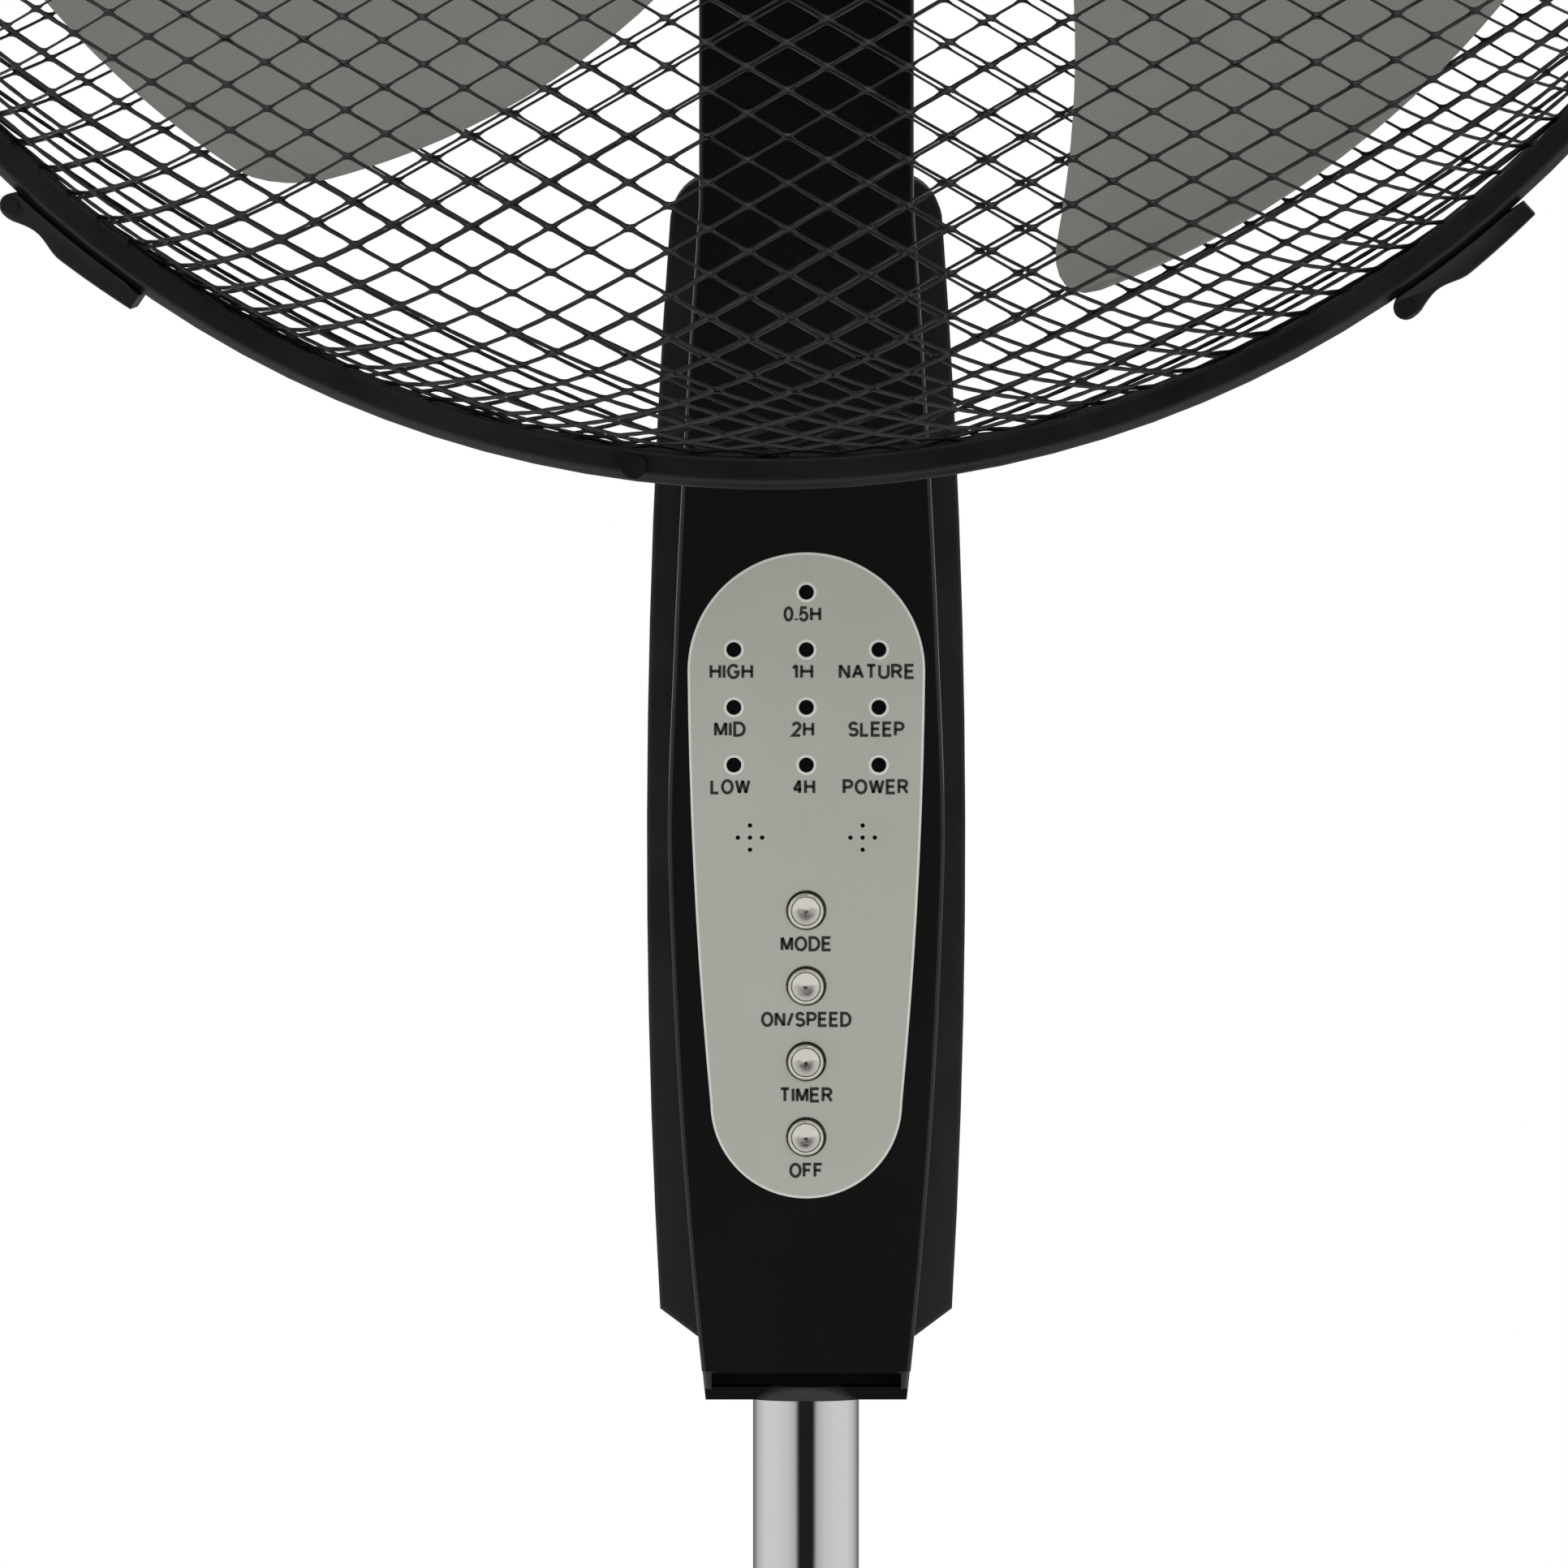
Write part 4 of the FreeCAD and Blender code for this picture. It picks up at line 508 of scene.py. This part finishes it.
def lamp_spots():
    """Centres of the lamps, from the top row down and left to right."""
    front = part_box("led_set")[0].y
    face = [v.co for v in frame["nodes"]["led_set"].data.vertices if v.co.y < front + LAMP_FACE]
    groups = []
    for p in face:
        near = [g for g in groups if (g[0] - p).length < LAMP_REACH]
        if near:
            near[0].append(p)
        else:
            groups.append([p])
    spots = []
    for g in groups:
        xs, zs = [p.x for p in g], [p.z for p in g]
        spots.append(((min(xs) + max(xs)) / 2, (min(zs) + max(zs)) / 2))
    return sorted(spots, key=lambda p: (-round(p[1] / MM), p[0]))


panel_low, panel_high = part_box("panel_plate")
panel_front = panel_low.y
lamps = lamp_spots()
LEGEND_HEIGHT = 3.1 * MM
LAMP_DROP = 4.4 * MM
BUTTON_DROP = 6.8 * MM
LAMP_LEGENDS = [("0.5H", 7.6, -0.8), ("HIGH", 8.8, -0.5), ("1H", 4.4, -0.8), ("NATURE", 15.4, -0.4),
                ("MID", 6.4, -0.8), ("2H", 4.6, -0.7), ("SLEEP", 11.4, -0.5),
                ("LOW", 8.1, -0.7), ("4H", 4.6, -0.5), ("POWER", 13.4, -0.6)]
BUTTON_LEGENDS = [("MODE", "button_mode", 10.4), ("ON/SPEED", "button_speed", 18.3),
                  ("TIMER", "button_timer", 10.9), ("OFF", "button_off", 6.9)]


GLYPHS = {
    "A": (0.68, [[(0, 0), (0.34, 1)], [(0.34, 1), (0.68, 0)], [(0.12, 0.33), (0.56, 0.33)]]),
    "D": (0.66, [[(0, 0), (0, 1), (0.26, 1), (0.26, 0.5, 0.4, 0.5, 90, -90), (0, 0)]]),
    "E": (0.56, [[(0.56, 0), (0, 0), (0, 1), (0.55, 1)], [(0, 0.52), (0.5, 0.52)]]),
    "F": (0.54, [[(0, 0), (0, 1), (0.54, 1)], [(0, 0.51), (0.46, 0.51)]]),
    "G": (0.72, [[(0.36, 0.5, 0.36, 0.5, 40, 325), (0.7, 0.46), (0.4, 0.46)]]),
    "H": (0.62, [[(0, 0), (0, 1)], [(0.62, 0), (0.62, 1)], [(0, 0.52), (0.62, 0.52)]]),
    "I": (0.0, [[(0, 0), (0, 1)]]),
    "L": (0.5, [[(0, 1), (0, 0), (0.5, 0)]]),
    "M": (0.72, [[(0, 0), (0, 1)], [(0.03, 1), (0.36, 0.05)], [(0.36, 0.05), (0.69, 1)],
                 [(0.72, 1), (0.72, 0)]]),
    "N": (0.62, [[(0, 0), (0, 1)], [(0.02, 1), (0.6, 0)], [(0.62, 0), (0.62, 1)]]),
    "O": (0.74, [[(0.37, 0.5, 0.37, 0.5, 90, 450)]]),
    "P": (0.58, [[(0, 0), (0, 1), (0.3, 1), (0.3, 0.73, 0.28, 0.27, 90, -90), (0, 0.46)]]),
    "R": (0.64, [[(0, 0), (0, 1), (0.3, 1), (0.3, 0.75, 0.28, 0.25, 90, -90), (0, 0.5)],
                 [(0.32, 0.5), (0.62, 0)]]),
    "S": (0.58, [[(0.29, 0.745, 0.26, 0.255, 20, 250), (0.29, 0.255, 0.29, 0.255, 70, -160)]]),
    "T": (0.6, [[(0, 1), (0.6, 1)], [(0.3, 1), (0.3, 0)]]),
    "U": (0.62, [[(0, 1), (0, 0.31), (0.31, 0.31, 0.31, 0.31, 180, 360), (0.62, 1)]]),
    "W": (0.96, [[(0, 1), (0.24, 0)], [(0.24, 0), (0.48, 1)], [(0.48, 1), (0.72, 0)],
                 [(0.72, 0), (0.96, 1)]]),
    "0": (0.52, [[(0.26, 0.5, 0.26, 0.5, 90, 450)]]),
    "1": (0.22, [[(0, 0.76), (0.21, 1)], [(0.22, 1), (0.22, 0)]]),
    "2": (0.52, [[(0.26, 0.72, 0.25, 0.28, 170, -30), (0, 0), (0.52, 0)]]),
    "4": (0.56, [[(0.42, 0), (0.42, 1)], [(0.41, 1), (0.02, 0.28)], [(0, 0.28), (0.56, 0.28)]]),
    "5": (0.52, [[(0.48, 1), (0.1, 1), (0.03, 0.5), (0.25, 0.32, 0.26, 0.32, 125, -160)]]),
    ".": (0.0, [[(0, 0), (0, 0.14)]]),
    "/": (0.36, [[(0, 0), (0.36, 1)]]),
}
LETTER_GAP = 0.30
INK = 0.235
FILM = 0.04 * MM
MITRE_LIMIT = 0.45
ARC_STEP = 15


def stroke_line(items):
    """Points of one pen stroke; six numbers are an arc: centre, radii, first and last angle."""
    line = []
    for item in items:
        if len(item) == 2:
            line.append(item)
            continue
        cx, cz, rx, rz, first, last = item
        steps = max(4, int(abs(last - first) / ARC_STEP))
        for k in range(steps + 1):
            turn = math.radians(first + (last - first) * k / steps)
            line.append((cx + rx * math.cos(turn), cz + rz * math.sin(turn)))
    return [p for k, p in enumerate(line) if k == 0 or math.dist(p, line[k - 1]) > 1e-4]


def ribbon(line, half):
    """Left and right edges of a stroke, mitred at its corners."""
    closed = math.dist(line[0], line[-1]) < 1e-8
    if closed:
        line = line[:-1]
    count = len(line)
    sides = []
    for k in range(count):
        before = line[k - 1] if closed or k else None
        after = line[(k + 1) % count] if closed or k < count - 1 else None
        normals = []
        for a, b in ((before, line[k]), (line[k], after)):
            if a and b:
                length = math.dist(a, b)
                normals.append(((a[1] - b[1]) / length, (b[0] - a[0]) / length))
        nx = sum(n[0] for n in normals)
        nz = sum(n[1] for n in normals)
        size = math.hypot(nx, nz) or 1.0
        nx, nz = nx / size, nz / size
        stretch = half / max(MITRE_LIMIT, nx * normals[0][0] + nz * normals[0][1])
        sides.append(((line[k][0] + nx * stretch, line[k][1] + nz * stretch),
                      (line[k][0] - nx * stretch, line[k][1] - nz * stretch)))
    return sides, closed


def legend_mesh(text, width, spot):
    """Vertices and faces of one line of lettering, printed as a thin film."""
    natural = sum(GLYPHS[c][0] for c in text) + LETTER_GAP * (len(text) - 1)
    scale = LEGEND_HEIGHT * (1 - INK * 0.8)
    squeeze = (width - INK * scale) / (natural * scale)
    pen = -natural / 2
    points, faces = [], []
    for c in text:
        advance, strokes = GLYPHS[c]
        for items in strokes:
            line = [((pen + x) * squeeze * scale, (z - 0.5) * scale) for x, z in stroke_line(items)]
            sides, closed = ribbon(line, INK * scale / 2)
            first = len(points)
            for left, right in sides:
                for x, z in (left, right):
                    points.append((spot[0] + x, panel_front - FILM, spot[1] + z))
                    points.append((spot[0] + x, panel_front + FILM, spot[1] + z))
            count = len(sides)
            for k in range(count if closed else count - 1):
                a, b = first + 4 * k, first + 4 * ((k + 1) % count)
                faces += [(a, b, b + 2, a + 2), (a + 1, a + 3, b + 3, b + 1), (a, a + 1, b + 1, b),
                          (a + 2, b + 2, b + 3, a + 3)]
            if not closed:
                last = first + 4 * (count - 1)
                faces += [(first, first + 2, first + 3, first + 1), (last, last + 1, last + 3, last + 2)]
        pen += advance + LETTER_GAP
    return points, faces


points, faces = [], []
rows = []
for (text, width, shift), spot in zip(LAMP_LEGENDS, lamps):
    rows.append((text, width * MM, (spot[0] + shift * MM, spot[1] - LAMP_DROP)))
for text, node, width in BUTTON_LEGENDS:
    spot = middle(node)
    rows.append((text, width * MM, (spot.x, spot.z - BUTTON_DROP)))
for text, width, spot in rows:
    add_mesh(points, faces, *legend_mesh(text, width, spot))
build("panel_legends", points, faces, "column", "switch_black", paint=legend_ink, smooth=False)


def in_mm(profile):
    return [(radius * MM, along * MM) for radius, along in profile]


RING_PROFILE = in_mm([(1.5, -0.1), (1.55, 0.1), (1.8, 0.12), (2.05, 0.02), (2.05, -0.1)])
ring_points, ring_faces = [], []
for spot in lamps:
    points, faces = lathe(RING_PROFILE, 32)
    points = [(spot[0] + x, panel_front - a, spot[1] + z) for x, z, a in points]
    add_mesh(ring_points, ring_faces, points, faces)
build("lamp_rings", ring_points, ring_faces, "column", "panel_silver", paint=lamp_ring_and_edge_highlight_paint)

# dished chrome caps; each sits a little low and left in its hole
CAP_DISH = ((0, 0.72), (0.25, 0.70), (0.6, 0.63), (1.5, 0.43), (2.3, 0.24), (2.55, 0.12), (2.8, 0),
            (3.05, 0.02), (3.35, 0.16), (3.58, 0.45), (3.65, 0.9))
CAP_SKIRT = [(3.65, 1.2), (5.0, 1.2), (5.0, 0.0), (0, 0.0)]
CAP_LEFT, CAP_DOWN = 0.1 * MM, 0.14 * MM
for node in ("button_mode", "button_speed", "button_timer", "button_off"):
    low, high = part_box(node)
    tall = (high.y - low.y) / MM
    cap = [(radius, tall - sunk) for radius, sunk in CAP_DISH] + CAP_SKIRT
    points, faces = lathe(in_mm(cap), 72, closed=False)
    spot = middle(node)
    points = [(spot.x + x - CAP_LEFT, high.y - a, spot.z + z - CAP_DOWN) for x, z, a in points]
    made = build(node + "_cap", points, faces, node, "button_chrome", angle=55)
    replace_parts(made, node)

# a short cone under the box, where the tube leaves it, in front of the lip
front_low, front_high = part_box("front_shell")
BOSS_PROFILE = in_mm([(0.0, 2.7), (7.4, 2.7), (7.9, 2.5), (10.5, 0.3), (10.7, 0.0), (0.0, 0.0)])
BOSS_BACK, BOSS_FLATNESS = 5.0 * MM, 0.34
points, faces = lathe(BOSS_PROFILE, 64)
points = [(x, front_low.y + BOSS_BACK + y * BOSS_FLATNESS, front_low.z + a) for x, y, a in points]
# painted in the lighter painted-light grey instead of the collar plastic's own black
build("tube_boss", points, faces, "column", "collar_plastic", paint=boss_painted_light)


QUARTER_STEPS = 6
ROUND_STEP = 90 / QUARTER_STEPS


def rounded_bar(name, low, high, corner, depth, edge, body, slot, paint):
    """A bar seen from the front as a rounded rectangle, with its front edge eased."""
    points = []
    centres = ((high[0] - corner, high[1] - corner, 0), (low[0] + corner, high[1] - corner, 90),
               (low[0] + corner, low[1] + corner, 180), (high[0] - corner, low[1] + corner, 270))
    loop = []
    for cx, cz, first in centres:
        for k in range(QUARTER_STEPS + 1):
            turn = math.radians(first + ROUND_STEP * k)
            loop.append((cx, cz, math.cos(turn), math.sin(turn)))
    layers = ((depth[1], 0), (depth[0] + edge, 0), (depth[0] + edge * 0.3, edge * 0.3), (depth[0], edge))
    for y, inset in layers:
        for cx, cz, nx, nz in loop:
            points.append((cx + nx * (corner - inset), y, cz + nz * (corner - inset)))
    count = len(loop)
    faces = ring_walls(0, len(layers), count)
    faces.append(tuple(range(count)))
    faces.append(tuple(range((len(layers) - 1) * count, len(layers) * count)))
    return build(name, points, faces, body, slot, paint=paint)


# ---------------------------------------------------------------- smooth skin of the front shell

def half_width_tree(node):
    mesh = frame["nodes"][node].data
    return BVHTree.FromPolygons([v.co for v in mesh.vertices], [f.vertices for f in mesh.polygons])


def half_width(tree, y, z):
    """Distance from the middle plane to the outside of a node at one depth and height."""
    hit = tree.ray_cast(Vector((0.2, y, z)), Vector((-1, 0, 0)))[0]
    return hit.x if hit and hit.x > 0 else 0.0


shell_tree = half_width_tree("front_shell")
panel_tree = half_width_tree("panel_plate")
panel_middle = middle("panel_plate")
COVER = 0.12 * MM
SKIN = 0.5 * MM
SEAM = 0.02 * MM
FLAT_MARGIN = 0.25 * MM
EDGE = 1.0 * MM
PANEL_COVER = 0.5 * MM
SKIN_LOW = 6.3 * MM
SKIN_ROWS = 360
SIDE_LEVELS = (6.4, 30, 60, 90, 118, 150, 180, 212, 242.5)
side_depth = front_high.y - 2 * MM
knots = []
for level in SIDE_LEVELS:
    knots.append((level * MM, half_width(shell_tree, side_depth, front_low.z + level * MM)))
smooth_side = curve_through(knots, 12)


def shell_half(level):
    """Half the front shell's width at a height above its bottom, smoothed."""
    if level >= smooth_side[-1][0]:
        return smooth_side[-1][1]
    for (a, wa), (b, wb) in zip(smooth_side, smooth_side[1:]):
        if a <= level <= b:
            return wa + (wb - wa) * (level - a) / (b - a)
    return smooth_side[0][1]


def skin_section(level, side):
    """Closed loop across one half of the skin at one level: front, eased edge, side and back again."""
    z = front_low.z + level
    outside = shell_half(level) + COVER
    face = front_low.y - COVER / 2
    under = SEAM
    if panel_low.z < z < panel_high.z:
        under = max(SEAM, half_width(panel_tree, panel_middle.y, z) - PANEL_COVER)
    flat_end = max(under + SEAM, outside - EDGE - FLAT_MARGIN)
    loop = [(under, face), (flat_end, face)]
    for k in range(QUARTER_STEPS + 1):
        turn = math.radians(ROUND_STEP * k)
        loop.append((outside - EDGE + EDGE * math.sin(turn), face + EDGE - EDGE * math.cos(turn)))
    loop += [(outside, front_high.y), (outside - SKIN, front_high.y), (outside - SKIN, face + EDGE),
             (outside - EDGE, face + SKIN), (under, face + SKIN)]
    return [(side * x, y, z) for x, y in loop]


skin_height = front_high.z - front_low.z - SKIN_LOW
levels = [SKIN_LOW + skin_height * k / SKIN_ROWS for k in range(SKIN_ROWS + 1)]
points, faces = [], []
for side in (-1, 1):
    sections = [skin_section(level, side) for level in levels]
    first, count = len(points), len(sections[0])
    last = first + SKIN_ROWS * count
    for section in sections:
        points += section
    faces += ring_walls(first, len(sections), count)
    faces += [tuple(range(first, first + count)), tuple(range(last, last + count))]
build("front_skin", points, faces, "column", "front_gloss", angle=30)

# a pale strip around the panel, its paleness a painted highlight of the eased edge: steps outwards, and back from
# the panel's face
EDGE_SECTION = ((0.06, 0.36), (0.06, 0.12), (-0.12, -0.03), (-0.42, -0.03), (-0.42, 0.1))
OUTLINE_STEPS = 360
BEYOND_PANEL = 0.3
outline = []
for k in range(OUTLINE_STEPS):
    turn = math.radians(360 / OUTLINE_STEPS * k)
    away_from = Vector((math.cos(turn), 0, math.sin(turn)))
    outline.append(panel_tree.ray_cast(panel_middle + away_from * BEYOND_PANEL, -away_from)[0])
points, faces = [], []
for k, p in enumerate(outline):
    before, after = outline[k - 1], outline[(k + 1) % OUTLINE_STEPS]
    along = (after - before).normalized()
    out = Vector((along.z, 0, -along.x))
    if out.dot(p - panel_middle) < 0:
        out = -out
    for reach, y in EDGE_SECTION:
        points.append(p + out * reach * MM + Vector((0, panel_front + y * MM - p.y, 0)))
count = len(EDGE_SECTION)
for k in range(OUTLINE_STEPS):
    n = (k + 1) % OUTLINE_STEPS
    for i in range(count):
        j = (i + 1) % count
        faces.append((count * k + i, count * k + j, count * n + j, count * n + i))
# the strip is painted pale as a painted highlight, not the panel's own silver
build("panel_edge_highlight", points, faces, "column", "panel_silver", paint=lamp_ring_and_edge_highlight_paint)

LIP_HALF = 20.1 * MM
LIP_HIGH = 2.6 * MM
LIP_BACK = 4.8 * MM
LIP_CORNER, LIP_EASE = 1.0 * MM, 0.4 * MM
# the lip is painted with the lighter painted-light grey, not the shell's own black
rounded_bar("box_lip", (-LIP_HALF, front_low.z), (LIP_HALF, front_low.z + LIP_HIGH), LIP_CORNER,
            (front_low.y + LIP_BACK, front_low.y + LIP_BACK * 2), LIP_EASE, "column", "front_gloss",
            lip_painted_light)


# ---------------------------------------------------------------- clips on the rim

RIM_GAP = 0.03 * MM
LEVER_STEPS = 28
LEVER_LIFT, LIFT_FROM = 4 * MM, 0.86
LEVER_DIP, DIP_RATE = 1.5 * MM, 2.2
LEVER_THINNING, THIN_FROM = 1.1 * MM, 0.1
LEVER_EASE = 0.7 * MM


def clip_lever(node):
    """A lever that hugs the rim: a round knuckle on its pin, then a bar that thins to a lifted end."""
    points = [TO_HEAD @ v.co for v in frame["nodes"][node].data.vertices]
    pivot = TO_HEAD @ Vector(joint(node.replace("guard_", "") + "_swing")["pos_m"])
    begin = math.atan2(pivot.x, -pivot.z)
    turns = [(math.atan2(p.x, -p.z) - begin + math.pi) % (2 * math.pi) - math.pi for p in points]
    span = max(turns)
    front, rear = min(p.y for p in points), max(p.y for p in points)
    inside = head_extent("front_rim")[2] + RIM_GAP
    outside = max(math.hypot(p.x, p.z) for p in points)
    pin = math.hypot(pivot.x, pivot.z)
    knuckle = min(outside - pin, pin - inside)
    outline = []
    for k in range(2 * QUARTER_STEPS + 1):
        turn = math.radians(90 + ROUND_STEP * k)
        outline.append((begin + knuckle * math.cos(turn) / pin, pin + knuckle * math.sin(turn)))
    for k in range(1, LEVER_STEPS + 1):
        share = k / LEVER_STEPS
        outline.append((begin + span * share, inside + max(0, share - LIFT_FROM) * LEVER_LIFT))
    for k in range(LEVER_STEPS, 0, -1):
        share = k / LEVER_STEPS
        dip = LEVER_DIP * math.sin(math.pi * min(1, share * DIP_RATE)) ** 2 * (share * DIP_RATE < 1)
        thin = LEVER_THINNING * share * (share > THIN_FROM)
        outline.append((begin + span * share, outside - dip - thin))
    mid = (inside + outside) / 2
    layers = ((front, 0.82), (front + LEVER_EASE * 0.3, 0.95), (front + LEVER_EASE, 1.0),
              (rear - LEVER_EASE, 1.0), (rear - LEVER_EASE * 0.3, 0.95), (rear, 0.82))
    points = []
    for y, pull in layers:
        for turn, radius in outline:
            radius = mid + (radius - mid) * pull
            points.append((radius * math.sin(turn), y, -radius * math.cos(turn)))
    count = len(outline)
    faces = ring_walls(0, len(layers), count)
    # end faces as strips between the outline's two sides
    for first in (0, (len(layers) - 1) * count):
        for k in range(count // 2):
            a, b = first + k, first + (count - 1 - k)
            c, d = first + k + 1, first + (count - 2 - k)
            if len({a, b, c, d}) == 4:
                faces.append((a, b, d, c))
            elif len({a, b, c, d}) == 3:
                faces.append(tuple(dict.fromkeys((a, b, d, c))))
    made = build(node + "_lever", points, faces, node, "clip_black", matrix=HEAD, angle=35)
    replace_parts(made, node)


for number in range(1, 6):
    clip_lever(f"guard_clip_{number}")


# ---------------------------------------------------------------- studio

def area_light(name, spot, target, wide, high, power):
    light = bpy.data.lights.new(name, "AREA")
    light.shape = "RECTANGLE"
    light.size, light.size_y = wide, high
    light.energy = power
    holder = bpy.data.objects.new(name, light)
    bpy.context.scene.collection.objects.link(holder)
    holder.location = spot
    holder.rotation_euler = (Vector(target) - Vector(spot)).to_track_quat("-Z", "Y").to_euler()
    holder.visible_camera = False
    return holder


CENTRE = (0, 0, 0.85)
SOFTBOXES = (
    ("softbox_left", (-1.75, -2.4, 1.3), 2.0, 2.4, 16, False),
    ("softbox_right", (1.75, -2.4, 1.3), 2.0, 2.4, 16, False),
    ("softbox_top", (0, -0.4, 3.4), 2.6, 2.6, 22, True),
    ("softbox_back_left", (-2.2, 2.4, 1.6), 1.8, 2.2, 12, True),
    ("softbox_back_right", (2.2, 2.4, 1.6), 1.8, 2.2, 12, True),
)
for name, spot, wide, high, power, mirrored in SOFTBOXES:
    area_light(name, spot, CENTRE, wide, high, power).visible_glossy = mirrored

# grey of the room from its front (0) to its back (1)
ROOM = ((0.0, 0.02), (0.022, 0.02), (0.05, 0.7), (0.12, 0.9), (0.3, 1.0), (0.6, 1.0), (0.8, 0.75), (1.0, 0.1))
ROOM_STRENGTH = 0.68
world = bpy.data.worlds.new("studio")
bpy.context.scene.world = world
world.use_nodes = True
tree = world.node_tree
tree.nodes.clear()
seen = new_node(tree, "ShaderNodeBackground")
seen.inputs["Color"].default_value = (1, 1, 1, 1)
seen.inputs["Strength"].default_value = 1.0
felt = new_node(tree, "ShaderNodeBackground")
felt.inputs["Strength"].default_value = ROOM_STRENGTH
where = new_node(tree, "ShaderNodeTexCoord").outputs["Generated"]
apart = new_node(tree, "ShaderNodeSeparateXYZ")
tree.links.new(where, apart.inputs["Vector"])
ramp = new_node(tree, "ShaderNodeValToRGB")
while len(ramp.color_ramp.elements) < len(ROOM):
    ramp.color_ramp.elements.new(0.5)
for element, (place, grey) in zip(ramp.color_ramp.elements, ROOM):
    element.position = place
    element.color = (grey, grey, grey, 1)
tree.links.new(remap(tree, apart.outputs["Y"], 0, 1, -1, 1), ramp.inputs["Fac"])
tree.links.new(ramp.outputs["Color"], felt.inputs["Color"])
path = new_node(tree, "ShaderNodeLightPath")
mix = new_node(tree, "ShaderNodeMixShader")
out = new_node(tree, "ShaderNodeOutputWorld")
tree.links.new(path.outputs["Is Camera Ray"], mix.inputs["Fac"])
tree.links.new(felt.outputs["Background"], mix.inputs[1])
tree.links.new(seen.outputs["Background"], mix.inputs[2])
tree.links.new(mix.outputs["Shader"], out.inputs["Surface"])

FLOOR_HALF = 2.6
floor_mesh = bpy.data.meshes.new("floor")
floor_mesh.from_pydata([(-FLOOR_HALF, -FLOOR_HALF, 0), (FLOOR_HALF, -FLOOR_HALF, 0),
                        (FLOOR_HALF, FLOOR_HALF, 0), (-FLOOR_HALF, FLOOR_HALF, 0)], [], [(0, 1, 2, 3)])
floor = bpy.data.objects.new("floor", floor_mesh)
bpy.context.scene.collection.objects.link(floor)
floor.data.materials.append(surface("floor_pale", (0.8, 0.8, 0.8), 0.6, level=0.2, vary=0.01, grain=0.05))

CAMERA_DISTANCE = 2.2
CAMERA_RISE = math.radians(5)
FIELD = 0.3157
SENSOR = 36
AIM_X, AIM_Y, AIM_ABOVE_BOX = -0.0045, -0.030, 0.1259
camera_data = bpy.data.cameras.new("camera")
camera = bpy.data.objects.new("camera", camera_data)
bpy.context.scene.collection.objects.link(camera)
target = Vector((AIM_X, AIM_Y, front_low.z + AIM_ABOVE_BOX))
away = Vector((0, -math.cos(CAMERA_RISE), math.sin(CAMERA_RISE)))
camera.location = target + away * CAMERA_DISTANCE
camera.rotation_euler = (-away).to_track_quat("-Z", "Y").to_euler()
camera_data.sensor_width = SENSOR
camera_data.lens = SENSOR * CAMERA_DISTANCE / FIELD
camera_data.clip_start = 0.05
camera_data.clip_end = 50
bpy.context.scene.camera = camera
bpy.context.scene.view_settings.view_transform = "Standard"
